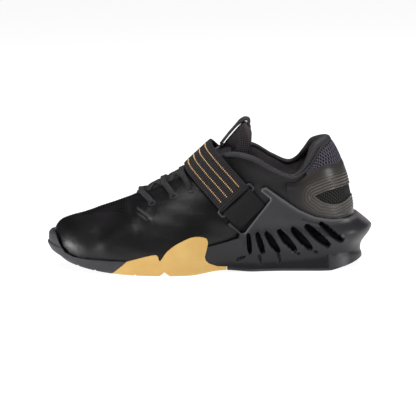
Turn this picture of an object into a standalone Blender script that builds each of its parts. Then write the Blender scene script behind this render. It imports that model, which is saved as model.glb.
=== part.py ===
"""A weightlifting shoe for the left foot, in metres, +Z up.

The toe points along -X, the heel along +X, the outer side along -Y. The origin lies on the
floor under the middle of the heel. Every soft and moulded piece is worked out from one upper
surface: ribs that run from the feather line, where the upper meets the sole, to its top edge.
"""

import math

import bmesh
import bpy
import numpy as np
from mathutils import Vector
from mathutils.bvhtree import BVHTree

# Driving sizes
LENGTH_TO_TOE = 0.2575
GAP = 0.0003
WALL = 0.0022
COLLAR_PAD = 0.0062
HEEL_PAD = 0.0098
SOLE_AT_TOE = 0.005
SOLE_AT_BALL = 0.008
SOLE_AT_HEEL = 0.030
TOE_SPRING = 0.014
TOE_SPRING_START = -0.165
ARCH_LIFT = 0.003
ARCH_FRONT, ARCH_BACK = -0.125, -0.062
HEEL_TREAD = 0.0028
INSOLE = 0.004
SIDE_COLUMNS = 2
UPPER_ROWS = 12
UP = np.array((0.0, 0.0, 1.0))

# Planes well clear of the shoe, for the outlines that part it
CUT_WIDTH = 0.09
BELOW, BEHIND, AHEAD = -0.010, 0.060, -0.280

# Ribs of the upper from toe tip to heel back: where each leaves the feather line, where it
# ends at the top edge, and how far its two handles reach outwards and upwards.
RIB = (
    "feather_x",
    "feather_y",
    "edge_x",
    "edge_y",
    "edge_z",
    "low_out",
    "low_up",
    "high_out",
    "high_up",
)
OUTER_RIBS = (
    (-0.2515, 0.0080, -0.2340, 0.0060, 0.0490, 0.0040, 0.012, 0.019, -0.0005),
    (-0.2440, -0.0120, -0.2290, 0.0050, 0.0508, 0.0045, 0.013, 0.019, -0.0005),
    (-0.2300, -0.0250, -0.2200, 0.0040, 0.0535, 0.0045, 0.016, 0.020, -0.0010),
    (-0.2110, -0.0335, -0.2070, 0.0030, 0.0585, 0.0045, 0.020, 0.021, -0.0020),
    (-0.1880, -0.0410, -0.1930, 0.0020, 0.0630, 0.0045, 0.022, 0.026, -0.0030),
    (-0.1640, -0.0465, -0.1780, 0.0010, 0.0685, 0.0045, 0.024, 0.030, -0.0040),
    (-0.1430, -0.0490, -0.1620, -0.0100, 0.0745, 0.0045, 0.026, 0.024, -0.0070),
    (-0.1230, -0.0475, -0.1410, -0.0160, 0.0840, 0.0045, 0.028, 0.021, -0.0100),
    (-0.1020, -0.0435, -0.1160, -0.0200, 0.0955, 0.0035, 0.030, 0.018, -0.0150),
    (-0.0820, -0.0385, -0.0890, -0.0265, 0.1105, 0.0020, 0.030, 0.010, -0.0250),
    (-0.0620, -0.0345, -0.0660, -0.0335, 0.1085, 0.0020, 0.026, 0.004, -0.0280),
    (-0.0400, -0.0335, -0.0450, -0.0365, 0.0965, 0.0030, 0.022, 0.001, -0.0240),
    (-0.0160, -0.0340, -0.0260, -0.0350, 0.0895, 0.0040, 0.022, 0.003, -0.0200),
    (0.0070, -0.0305, -0.0110, -0.0290, 0.0995, 0.0035, 0.024, 0.008, -0.0160),
    (0.0240, -0.0190, -0.0025, -0.0180, 0.1160, 0.0035, 0.028, 0.013, -0.0080),
    (0.0305, 0.0000, 0.0020, 0.0000, 0.1240, 0.0030, 0.030, 0.017, -0.0020),
)
INNER_RIBS = (
    OUTER_RIBS[0],
    (-0.2440, 0.0250, -0.2290, 0.0050, 0.0508, 0.0045, 0.013, 0.019, -0.0005),
    (-0.2300, 0.0355, -0.2200, 0.0040, 0.0535, 0.0045, 0.017, 0.020, -0.0010),
    (-0.2110, 0.0410, -0.2070, 0.0030, 0.0585, 0.0045, 0.022, 0.021, -0.0020),
    (-0.1880, 0.0450, -0.1930, 0.0020, 0.0630, 0.0040, 0.026, 0.026, -0.0020),
    (-0.1640, 0.0465, -0.1780, 0.0010, 0.0685, 0.0035, 0.030, 0.030, -0.0030),
    (-0.1430, 0.0445, -0.1620, 0.0110, 0.0750, 0.0030, 0.032, 0.022, -0.0060),
    (-0.1230, 0.0400, -0.1410, 0.0165, 0.0850, 0.0025, 0.034, 0.019, -0.0100),
    (-0.1020, 0.0345, -0.1160, 0.0205, 0.0970, 0.0030, 0.034, 0.016, -0.0170),
    (-0.0820, 0.0300, -0.0890, 0.0265, 0.1125, 0.0035, 0.032, 0.010, -0.0250),
    (-0.0620, 0.0290, -0.0650, 0.0335, 0.1120, 0.0040, 0.028, 0.004, -0.0280),
    (-0.0400, 0.0300, -0.0450, 0.0365, 0.1005, 0.0045, 0.024, 0.001, -0.0240),
    (-0.0160, 0.0320, -0.0270, 0.0350, 0.0940, 0.0045, 0.022, 0.003, -0.0200),
    (0.0070, 0.0295, -0.0120, 0.0290, 0.1020, 0.0035, 0.024, 0.008, -0.0160),
    (0.0240, 0.0185, -0.0030, 0.0180, 0.1165, 0.0035, 0.028, 0.013, -0.0080),
    OUTER_RIBS[15],
)
THROAT_ROW = 5
COLLAR_ROW = 9
HEEL_ROW = 15

# The sole's side under each rib: the tread's edge on the floor, how far the side stands out
# from it at the waist and at the flare, at what height, and its cover over the upper.
SIDE = ("tread_x", "tread_y", "waist_out", "waist_z", "flare_out", "flare_z", "cover")
OUTER_SIDE = (
    (-0.2500, 0.0080, 0.0055, 0.006, 0.0075, 0.013, 0.0030),
    (-0.2430, -0.0130, 0.0040, 0.006, 0.0055, 0.012, 0.0028),
    (-0.2310, -0.0265, 0.0020, 0.006, 0.0025, 0.011, 0.0024),
    (-0.2120, -0.0370, 0.0010, 0.006, 0.0012, 0.010, 0.0022),
    (-0.1880, -0.0445, 0.0010, 0.006, 0.0012, 0.010, 0.0022),
    (-0.1630, -0.0500, 0.0010, 0.006, 0.0012, 0.011, 0.0024),
    (-0.1430, -0.0530, 0.0008, 0.007, 0.0010, 0.013, 0.0026),
    (-0.1230, -0.0520, 0.0005, 0.008, 0.0010, 0.015, 0.0030),
    (-0.1030, -0.0465, 0.0000, 0.009, 0.0015, 0.018, 0.0040),
    (-0.0820, -0.0415, -0.0010, 0.010, 0.0020, 0.022, 0.0050),
    (-0.0600, -0.0380, -0.0010, 0.011, 0.0035, 0.025, 0.0056),
    (-0.0380, -0.0375, -0.0015, 0.012, 0.0040, 0.028, 0.0056),
    (-0.0140, -0.0395, -0.0020, 0.014, 0.0030, 0.030, 0.0054),
    (0.0065, -0.0395, -0.0030, 0.016, 0.0020, 0.032, 0.0050),
    (0.0280, -0.0270, -0.0020, 0.018, 0.0060, 0.034, 0.0046),
    (0.0385, 0.0000, -0.0005, 0.019, 0.0090, 0.036, 0.0044),
)
INNER_SIDE = (
    OUTER_SIDE[0],
    (-0.2430, 0.0275, 0.0040, 0.006, 0.0055, 0.012, 0.0028),
    (-0.2310, 0.0385, 0.0020, 0.006, 0.0025, 0.011, 0.0024),
    (-0.2120, 0.0450, 0.0010, 0.006, 0.0012, 0.010, 0.0022),
    (-0.1880, 0.0495, 0.0010, 0.006, 0.0012, 0.010, 0.0022),
    (-0.1630, 0.0510, 0.0010, 0.006, 0.0012, 0.011, 0.0024),
    (-0.1430, 0.0485, 0.0008, 0.007, 0.0010, 0.013, 0.0026),
    (-0.1230, 0.0435, 0.0005, 0.008, 0.0010, 0.015, 0.0030),
    (-0.1030, 0.0380, 0.0000, 0.009, 0.0015, 0.018, 0.0040),
    (-0.0820, 0.0335, 0.0000, 0.010, 0.0025, 0.022, 0.0050),
    (-0.0600, 0.0330, 0.0000, 0.011, 0.0035, 0.025, 0.0056),
    (-0.0380, 0.0350, -0.0010, 0.012, 0.0035, 0.028, 0.0056),
    (-0.0140, 0.0380, -0.0020, 0.014, 0.0030, 0.030, 0.0054),
    (0.0065, 0.0385, -0.0030, 0.016, 0.0020, 0.032, 0.0050),
    (0.0280, 0.0265, -0.0020, 0.018, 0.0060, 0.034, 0.0046),
    OUTER_SIDE[15],
)
TREAD_EDGE = 0.0022
WALL_LEVELS = (0.20, 0.32, 0.44, 0.56, 0.68, 0.80)
WALL_FOOT = 0.10

# Side outlines of the sole's pieces, along the shoe and up.
TOE_RAND = (
    (-0.1830, 0.0136),
    (-0.2050, 0.0134),
    (-0.2200, 0.0138),
    (-0.2330, 0.0152),
    (-0.2410, 0.0185),
    (-0.2470, 0.0250),
    (-0.2510, 0.0330),
    (-0.2545, 0.0372),
    (-0.2620, 0.0385),
)
TOE_SEAM = ((-0.1985, 0.0), (-0.1830, 0.0130))
FOREFOOT_TOP = (
    (-0.1830, 0.0130),
    (-0.1660, 0.0178),
    (-0.1545, 0.0197),
    (-0.1515, 0.0145),
    (-0.1455, 0.0220),
    (-0.1375, 0.0284),
    (-0.1265, 0.0338),
    (-0.1195, 0.0358),
    (-0.1140, 0.0358),
    (-0.1082, 0.0342),
    (-0.1066, 0.0303),
)
ARCH_SEAM = (
    (-0.1072, 0.0265),
    (-0.1096, 0.0175),
    (-0.1088, 0.0139),
    (-0.1058, 0.0108),
    (-0.0985, 0.0078),
    (-0.0895, 0.0068),
)
CAGE_TOP = (
    (-0.1041, 0.0270),
    (-0.0900, 0.0300),
    (-0.0787, 0.0330),
    (-0.0768, 0.0370),
    (-0.0815, 0.0415),
    (-0.0872, 0.0450),
    (-0.0878, 0.0472),
    (-0.0862, 0.0482),
    (-0.0756, 0.0378),
    (-0.0720, 0.0382),
    (-0.0482, 0.0680),
    (-0.0488, 0.0705),
    (-0.0565, 0.0770),
    (-0.0560, 0.0792),
    (-0.0520, 0.0803),
    (-0.0390, 0.0705),
    (-0.0217, 0.0585),
    (-0.0070, 0.0515),
    (0.0085, 0.0480),
    (0.0246, 0.0470),
    (0.0345, 0.0478),
    (0.0520, 0.0345),
)
HEEL_TREAD_FRONT = -0.0892

# Hollows between the ribs of the heel cage: upper end, lower end and width.
GILL = ("top_x", "top_z", "low_x", "low_z", "width")
GILLS = (
    (-0.0690, 0.0360, -0.0678, 0.0190, 0.0040),
    (-0.0604, 0.0360, -0.0556, 0.0190, 0.0052),
    (-0.0518, 0.0365, -0.0416, 0.0198, 0.0062),
    (-0.0400, 0.0385, -0.0262, 0.0208, 0.0068),
    (-0.0272, 0.0400, -0.0120, 0.0226, 0.0072),
    (-0.0142, 0.0425, 0.0048, 0.0250, 0.0072),
    (-0.0012, 0.0445, 0.0175, 0.0285, 0.0060),
)
GILL_DEPTH = 0.0036
GILL_FLOOR = 0.55
GILL_REACH = 0.006
# Along a hollow: where, and its share of the full width and depth there.
GILL_SECTIONS = (
    (0.0, 0.25, 0.3),
    (0.2, 0.8, 0.9),
    (0.5, 1.0, 1.0),
    (0.8, 0.8, 0.9),
    (1.0, 0.3, 0.4),
)

# Grooves across the tread where the forefoot flexes: place, width and depth.
GROOVE_START = 0.004
TOE_GROOVES = ((-0.2290, 0.0024, 0.0016), (-0.2125, 0.0024, 0.0014))
FOREFOOT_GROOVES = ((-0.1474, 0.0100, 0.0042), (-0.1750, 0.0026, 0.0014))

# Rows of the tongue along its middle line: where it lies, its half width, how far its sides
# drop behind the middle, and how thick it is padded.
TONGUE = ("x", "z", "half_width", "drop", "thick")
TONGUE_ROWS = (
    (-0.1960, 0.0560, 0.0130, 0.0020, 0.0022),
    (-0.1780, 0.0625, 0.0200, 0.0040, 0.0024),
    (-0.1600, 0.0705, 0.0245, 0.0070, 0.0028),
    (-0.1400, 0.0800, 0.0270, 0.0100, 0.0034),
    (-0.1200, 0.0895, 0.0280, 0.0130, 0.0040),
    (-0.1030, 0.1005, 0.0285, 0.0170, 0.0044),
    (-0.0905, 0.1130, 0.0290, 0.0200, 0.0046),
    (-0.0790, 0.1260, 0.0265, 0.0180, 0.0044),
    (-0.0695, 0.1365, 0.0190, 0.0080, 0.0034),
)
TONGUE_COLUMNS = 10
TONGUE_CLEAR = 0.0012
TONGUE_BEND = 1.8
TONGUE_TURN = 0.9
TONGUE_THIN = 0.45
TONGUE_LEAN = 0.75
TONGUE_FREE_Z, TONGUE_FREE_Y, TONGUE_TIP_X = 0.118, 0.006, -0.172
INSTEP_DROP = 0.03

# The strap: its plane leans back, so its width runs along one slanted direction, and every
# place on it is an angle round an axis inside the instep plus a height over the upper.
STRAP_AXIS = np.array((-0.0755, 0.0, 0.0640))
STRAP_WIDE = np.array((0.74, 0.0, 0.67))
STRAP_UP = np.array((-0.67, 0.0, 0.74))
OUTER_WAY = np.array((0.0, -1.0, 0.0))
STRAP_WIDTH = 0.034
STRAP_THICK = 0.0016
TAB_WIDTH = 0.0335
TAB_THICK = 0.0014
CREST_LIFT = 0.0010
BAR_RADIUS = 0.0013
RING_REACH = 0.0195
STRAP_BAR, TAB_BAR = 76.0, 86.0
RIBBON_CLEAR = 0.0005
WRAP_REACH, WRAP_STEP = 132.0, 3.0
STRAP_START, STRAP_END, STRAP_STEP = -118, -43, 6
TAB_START, TAB_STEP = 118, 5
TAB_RETURN = (104, 108, 111)
RING_INSET = 0.0015
RING_BAR_SHARES = (-1, -0.33, 0.33, 1)
RING_END_SHARES = ((0.18, 0.985), (0.5, 1.0), (0.82, 0.985))
POCKET_ROOM, POCKET_SIDE, POCKET_STEPS = 0.0010, 0.0014, 5
POCKET_FROM, POCKET_TO = 103, 121

# Laces: the rib on each side and the height on it where a lace leaves its eyelet.
LACE_RADIUS = 0.0015
LACE_CLEAR = 0.0007
LACE_EDGE = 0.94
LACE_CREST_Y, LACE_CREST_DROP = 0.006, 0.0008
LACE = ("outer_rib", "inner_rib", "crest_x", "rise")
LACE_BARS = (
    (6.10, 6.05, -0.1700, 0.0030),
    (6.95, 6.90, -0.1440, 0.0030),
    (7.55, 7.55, -0.1290, 0.0022),
)
LACE_CROSSES = (
    (6.15, 6.85, -0.1570, 0.0028),
    (6.90, 6.10, -0.1570, 0.0028),
    (7.00, 7.50, -0.1360, 0.0026),
    (7.50, 6.95, -0.1360, 0.0026),
)
EYELET_HEIGHT = 0.76
CROSS_HEIGHT = 0.775

# The film round the heel, its lens-shaped window, and the cuff band round the collar.
FILM_THICK = 0.0009
FILM_FROM, FILM_TO = 11.6, 18.4
FILM_LOW, FILM_SIDE_HIGH, FILM_BACK_HIGH = 0.12, 0.86, 0.62
WINDOW = (
    (-0.0070, 0.0725),
    (0.0100, 0.0800),
    (0.0300, 0.0835),
    (0.0300, 0.0690),
    (0.0140, 0.0655),
)
BAND_FROM, BAND_TO = 9.0, 21.0
BAND_LOW, BAND_HIGH = 0.90, 0.995
BAND_THICK = 0.0011

# The loop of tape on the tongue, as places along and up its middle.
LOOP_LINE = (
    (-0.0925, 0.1180),
    (-0.0880, 0.1230),
    (-0.0800, 0.1320),
    (-0.0730, 0.1385),
    (-0.0685, 0.1400),
)
LOOP_HALF_WIDTH, LOOP_THICK = 0.006, 0.0012

COLOURS = {
    "upper": ((0.012, 0.011, 0.013), 0.42),
    "mesh": ((0.055, 0.052, 0.068), 0.85),
    "cage": ((0.060, 0.054, 0.060), 0.45),
    "gold": ((0.80, 0.50, 0.17), 0.60),
    "rubber": ((0.045, 0.043, 0.050), 0.65),
    "webbing": ((0.020, 0.018, 0.020), 0.80),
    "lining": ((0.030, 0.026, 0.032), 0.90),
}


def smoothstep(low, high, value):
    t = min(1.0, max(0.0, (value - low) / (high - low)))
    return t * t * (3 - 2 * t)


def toe_lift(x):
    ahead = max(0.0, (TOE_SPRING_START - x) / (TOE_SPRING_START + LENGTH_TO_TOE))
    return TOE_SPRING * ahead**2.2


def floor_lift(x):
    """Height of the tread over the floor: toe spring in front, a low arch in the waist."""
    share = min(1.0, max(0.0, (x - ARCH_FRONT) / (ARCH_BACK - ARCH_FRONT)))
    return toe_lift(x) + ARCH_LIFT * math.sin(math.pi * share) ** 2


def seat(x):
    """Height of the surface that the upper and the insole stand on."""
    front = SOLE_AT_TOE + (SOLE_AT_BALL - SOLE_AT_TOE) * smoothstep(-0.235, -0.17, x)
    rise = (SOLE_AT_HEEL - SOLE_AT_BALL) * smoothstep(-0.155, -0.030, x)
    return front + rise + toe_lift(x)


def closed_rows(outer, inner):
    """Both sides' rows as one ring: outer side back to the heel, inner side forward again."""
    return np.array(list(outer) + list(inner[-2:0:-1]))


RIBS = closed_rows(OUTER_RIBS, INNER_RIBS)
SIDES = closed_rows(OUTER_SIDE, INNER_SIDE)
RING = len(RIBS)


def between(a, b, c, d, t):
    """A smooth curve from b to c that comes from a and heads for d."""
    bend = (2 * a - 5 * b + 4 * c - d) * t**2 + (3 * b - a - 3 * c + d) * t**3
    return 0.5 * (2 * b + (c - a) * t + bend)


def on_ring(rows, place):
    """A smooth curve through the rows of a ring, read at a place between them."""
    i = math.floor(place)
    return between(*(rows[(i + k) % RING] for k in (-1, 0, 1, 2)), place - i)


def on_line(rows, place):
    """The same for rows with two ends."""
    last = len(rows) - 1
    i = min(max(int(place), 0), last - 1)
    return between(*(rows[min(max(i + k, 0), last)] for k in (-1, 0, 1, 2)), place - i)


def unit(vector):
    return vector / np.linalg.norm(vector)


def outward(rows, place):
    """The level direction that points out of a ring's plan outline."""
    ahead = on_ring(rows, place + 0.05) - on_ring(rows, place - 0.05)
    return unit(np.array((ahead[1], -ahead[0], 0.0)))


def edge_of(place):
    """Where a rib ends. In front of the throat both sides end on one ridge."""
    own = on_ring(RIBS, place)[2:5]
    across = min(place % RING, RING - place % RING)
    if across <= THROAT_ROW:
        own = (own + on_ring(RIBS, -place)[2:5]) / 2
    return own


def rib_point(place, height):
    """A point of the upper's outer surface, 0 at the feather line and 1 at the top edge."""
    row = dict(zip(RIB, on_ring(RIBS, place)))
    out = outward(RIBS, place)
    foot = np.array((row["feather_x"], row["feather_y"], seat(row["feather_x"]) + GAP))
    edge = edge_of(place)
    low = foot + out * row["low_out"] + UP * row["low_up"]
    high = edge + out * row["high_out"] + UP * row["high_up"]
    t, s = height, 1 - height
    return s**3 * foot + 3 * s * s * t * low + 3 * s * t * t * high + t**3 * edge


def rib_normal(place, height):
    h = min(max(height, 0.01), 0.97)
    along = rib_point(place + 0.04, h) - rib_point(place - 0.04, h)
    upwards = rib_point(place, h + 0.01) - rib_point(place, h - 0.01)
    return unit(np.cross(along, upwards))


def over(place, height, offset):
    """A point that far outside the upper's surface, or inside it where negative."""
    return rib_point(place, height) + rib_normal(place, height) * offset


def material(name):
    found = bpy.data.materials.get(name)
    if found:
        return found
    made = bpy.data.materials.new(name)
    made.use_nodes = True
    colour, roughness = COLOURS[name]
    shader = made.node_tree.nodes["Principled BSDF"]
    shader.inputs["Base Color"].default_value = (*colour, 1.0)
    shader.inputs["Roughness"].default_value = roughness
    made.diffuse_color = (*colour, 1.0)
    return made


def add_object(name, mesh, finish=None):
    item = bpy.data.objects.new(name, mesh)
    (SHOE if finish else CUTTERS).objects.link(item)
    if finish:
        mesh.materials.append(material(finish))
        mesh.shade_smooth()
        mesh.set_sharp_from_angle(angle=math.radians(40))
    else:
        item.hide_render = True
        item.display_type = "WIRE"
    return item


def mesh_from_rows(name, rows, closed_along, closed_round):
    """Quads between neighbouring rows of points, with doubles merged."""
    form = bmesh.new()
    grid = [[form.verts.new(point) for point in row] for row in rows]
    last_row = len(rows) if closed_along else len(rows) - 1
    last_point = len(rows[0]) if closed_round else len(rows[0]) - 1
    for i in range(last_row):
        for j in range(last_point):
            a, b = grid[i], grid[(i + 1) % len(rows)]
            k = (j + 1) % len(rows[0])
            form.faces.new((a[j], b[j], b[k], a[k]))
    bmesh.ops.remove_doubles(form, verts=form.verts, dist=1e-6)
    bmesh.ops.dissolve_degenerate(form, dist=1e-6, edges=form.edges)
    mesh = bpy.data.meshes.new(name)
    form.to_mesh(mesh)
    form.free()
    return mesh


def facing_out(mesh):
    """The mesh in triangles, so no face is bent, with its faces pointing out."""
    form = bmesh.new()
    form.from_mesh(mesh)
    bmesh.ops.triangulate(form, faces=form.faces)
    bmesh.ops.recalc_face_normals(form, faces=form.faces)
    form.to_mesh(mesh)
    form.free()
    return mesh


def prism(name, outline):
    """A side outline given along X and Z, drawn out across the shoe."""
    form = bmesh.new()
    ring = [form.verts.new((x, -CUT_WIDTH, z)) for x, z in outline]
    face = form.faces.new(ring)
    drawn = bmesh.ops.extrude_face_region(form, geom=[face])
    far = [v for v in drawn["geom"] if isinstance(v, bmesh.types.BMVert)]
    bmesh.ops.translate(form, verts=far, vec=(0, 2 * CUT_WIDTH, 0))
    mesh = bpy.data.meshes.new(name)
    form.to_mesh(mesh)
    form.free()
    return add_object(name, facing_out(mesh))


def boolean(item, cutter, operation):
    cut = item.modifiers.new(cutter.name, "BOOLEAN")
    cut.operation = operation
    cut.object = cutter
    cut.solver = "EXACT"


def wall_at(point):
    """The upper's wall: thin leather, padded round the collar and most at the heel."""
    collar = smoothstep(0.075, 0.098, point.z) * smoothstep(-0.095, -0.075, point.x)
    heel = smoothstep(0.096, 0.114, point.z) * smoothstep(-0.030, -0.008, point.x)
    return WALL + (COLLAR_PAD - WALL) * collar + (HEEL_PAD - COLLAR_PAD) * heel


def make_upper():
    places = [i / SIDE_COLUMNS for i in range(RING * SIDE_COLUMNS)]
    heights = [i / UPPER_ROWS for i in range(UPPER_ROWS + 1)]
    rows = [[rib_point(place, height) for height in heights] for place in places]
    mesh = mesh_from_rows("upper", rows, True, False)
    item = add_object("upper", facing_out(mesh), "upper")
    pad = item.vertex_groups.new(name="pad")
    for vertex in mesh.vertices:
        share = (wall_at(vertex.co) - WALL) / (HEEL_PAD - WALL)
        pad.add([vertex.index], share, "REPLACE")
    wall = item.modifiers.new("wall", "SOLIDIFY")
    wall.thickness = HEEL_PAD
    wall.offset = -1
    wall.vertex_group = "pad"
    wall.thickness_vertex_group = WALL / HEEL_PAD
    return item


def cup_section(place):
    """Half of the sole's cross-section at one rib, from the tread over the rim to the seat."""
    row = dict(zip(SIDE, on_ring(SIDES, place)))
    out = outward(SIDES, place)
    tread = np.array((row["tread_x"], row["tread_y"], floor_lift(row["tread_x"])))
    points = [
        tread - out * TREAD_EDGE,
        tread + UP * TREAD_EDGE,
        tread + out * row["waist_out"] + UP * row["waist_z"],
        tread + out * row["flare_out"] + UP * row["flare_z"],
    ]
    points += [over(place, height, row["cover"]) for height in WALL_LEVELS]
    points += [over(place, height, GAP) for height in reversed(WALL_LEVELS)]
    points.append(over(place, WALL_FOOT, GAP))
    points.append(rib_point(place, 0.0) + outward(RIBS, place) * GAP - UP * GAP)
    return points


def cup_mesh(name):
    """The whole sole before it is parted: a deep cup round the upper, closed across the seat."""
    half = RING * SIDE_COLUMNS // 2
    rows = []
    for i in range(half + 1):
        near = cup_section(i / SIDE_COLUMNS)
        far = cup_section(RING - i / SIDE_COLUMNS)
        rows.append(near + far[::-1])
    return facing_out(mesh_from_rows(name, rows, False, True))


def shifted(outline, dx, dz):
    return [(x + dx, z + dz) for x, z in outline]


def cut_grooves(piece, grooves):
    """V grooves from side to side in the tread."""
    for number, (x, width, depth) in enumerate(grooves):
        low = floor_lift(x) - GROOVE_START
        peak = floor_lift(x) + depth
        spread = width / 2 * (depth + GROOVE_START) / depth
        outline = [(x - spread, low), (x, peak), (x + spread, low)]
        boolean(piece, prism(f"{piece.name}_groove_{number}", outline), "DIFFERENCE")


def make_sole():
    toe = add_object("toe_rubber", cup_mesh("toe_rubber"), "rubber")
    front = shifted(TOE_SEAM, -GAP / 2, 0)
    outline = [(AHEAD, BELOW), (front[0][0] - 0.01, BELOW), *front, *TOE_RAND[1:]]
    boolean(toe, prism("toe_outline", [*outline, (AHEAD, TOE_RAND[-1][1])]), "INTERSECT")
    cut_grooves(toe, TOE_GROOVES)

    forefoot = add_object("forefoot_rubber", cup_mesh("forefoot_rubber"), "gold")
    back = shifted(ARCH_SEAM, -GAP / 2, -GAP / 2)
    front = shifted(TOE_SEAM, GAP / 2, 0)
    outline = [(front[0][0] - 0.01, BELOW), *front, *FOREFOOT_TOP[1:], *back]
    boolean(forefoot, prism("forefoot_outline", [*outline, (back[-1][0], BELOW)]), "INTERSECT")
    cut_grooves(forefoot, FOREFOOT_GROOVES)

    cage = add_object("midsole", cup_mesh("midsole"), "cage")
    front = shifted(ARCH_SEAM, GAP / 2, GAP / 2)
    base = HEEL_TREAD + GAP
    outline = [*reversed(front), *CAGE_TOP, (BEHIND, base), (HEEL_TREAD_FRONT, base)]
    boolean(cage, prism("midsole_outline", outline), "INTERSECT")

    heel = add_object("heel_rubber", cup_mesh("heel_rubber"), "rubber")
    outline = [(HEEL_TREAD_FRONT, BELOW), (HEEL_TREAD_FRONT, HEEL_TREAD)]
    outline += [(BEHIND, HEEL_TREAD), (BEHIND, BELOW)]
    boolean(heel, prism("heel_outline", outline), "INTERSECT")
    return cage


def body_from_rows(name, rows, finish):
    """A closed body from rings of points: quads between the rings and a cap on each end."""
    mesh = mesh_from_rows(name, rows, False, True)
    form = bmesh.new()
    form.from_mesh(mesh)
    bmesh.ops.holes_fill(form, edges=[e for e in form.edges if e.is_boundary], sides=0)
    form.to_mesh(mesh)
    form.free()
    return add_object(name, facing_out(mesh), finish)


def make_insole():
    rows = []
    inset = WALL + 4 * GAP
    for i in range(RING * SIDE_COLUMNS // 2 + 1):
        section = []
        for place in (i / SIDE_COLUMNS, RING - i / SIDE_COLUMNS):
            foot = rib_point(place, 0.0) - outward(RIBS, place) * inset
            low = np.array((foot[0], foot[1], seat(foot[0]) + 1.5 * GAP))
            section.append((low, low + UP * INSOLE))
        rows.append([section[0][0], section[0][1], section[1][1], section[1][0]])
    mesh = mesh_from_rows("insole", rows, False, True)
    return add_object("insole", facing_out(mesh), "lining")


def upper_tree():
    """The upper's outer surface for measuring, with the throat bridged from edge to edge."""
    half = RING * SIDE_COLUMNS // 2
    heights = [i / UPPER_ROWS for i in range(UPPER_ROWS + 1)]
    points, faces = [], []
    wide = 2 * len(heights)
    for i in range(half + 1):
        place = i / SIDE_COLUMNS
        points += [rib_point(place, h) for h in heights]
        points += [rib_point(RING - place, h) for h in reversed(heights)]
    for i in range(half):
        for j in range(wide - 1):
            a = i * wide + j
            if j == len(heights) - 1 and i / SIDE_COLUMNS >= COLLAR_ROW:
                continue
            faces.append((a, a + wide, a + wide + 1, a + 1))
    return BVHTree.FromPolygons([Vector(p) for p in points], faces)


def inside_upper(tree, point, depth):
    """The point itself, or the nearest one that lies at least so deep inside the upper."""
    near, normal, _, _ = tree.find_nearest(Vector(point))
    away = np.array(point) - np.array(near)
    normal = np.array(normal)
    centre = np.array((near[0], 0.0, near[2] - INSTEP_DROP))
    if normal @ (np.array(near) - centre) < 0:
        normal = -normal
    reach = away @ normal
    if reach > -depth:
        return np.array(point) - normal * (reach + depth)
    return np.array(point)


def make_tongue(tree):
    rows = []
    table = np.array(TONGUE_ROWS)
    for i in range(2 * len(table) - 1):
        place = i / 2
        row = dict(zip(TONGUE, on_line(table, place)))
        ahead = on_line(table, place + 0.05) - on_line(table, place - 0.05)
        along = unit(np.array((ahead[0], 0.0, ahead[1])))
        front = np.array((-along[2], 0.0, along[0]))
        face, back = [], []
        for j in range(TONGUE_COLUMNS + 1):
            q = 2 * j / TONGUE_COLUMNS - 1
            middle = np.array((row["x"], 0.0, row["z"])) - front * row["drop"] * abs(q) ** TONGUE_BEND
            quarter = math.pi / 2 * TONGUE_TURN
            middle[1] = row["half_width"] * math.sin(q * quarter) / math.sin(quarter)
            thick = row["thick"] * (1 - TONGUE_THIN * q * q)
            side = np.array((0.0, math.copysign(1, q), 0.0))
            lean = TONGUE_LEAN * abs(q)
            out = unit(front * (1 - lean) + side * lean)
            deep = wall_at(Vector(middle)) + TONGUE_CLEAR + thick / 2
            under_throat = middle[2] < TONGUE_FREE_Z and abs(middle[1]) > TONGUE_FREE_Y
            if under_throat or middle[0] < TONGUE_TIP_X:
                middle = inside_upper(tree, middle, deep)
            face.append(middle + out * thick / 2)
            back.append(middle - out * thick / 2)
        rows.append(face + back[::-1])
    return body_from_rows("tongue", rows, "upper")


def strap_line(tree, angle):
    """The height over the strap's axis, and its tilt across the width, that clears the upper."""
    a = math.radians(angle)
    way = STRAP_UP * math.cos(a) + OUTER_WAY * math.sin(a)
    spots = np.linspace(-STRAP_WIDTH / 2, STRAP_WIDTH / 2, 7)
    reach = []
    for s in spots:
        start = STRAP_AXIS + STRAP_WIDE * s
        hit = tree.ray_cast(Vector(start), Vector(way))
        reach.append(hit[3] if hit[3] is not None else np.nan)
    reach = np.array(reach)
    known = ~np.isnan(reach)
    crest = 1 - smoothstep(10, 60, abs(angle))
    slope = np.polyfit(spots[known], reach[known], 1)[0] * (1 - crest)
    level = (reach[known] - slope * spots[known]).max()
    return level + CREST_LIFT * crest, slope


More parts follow.
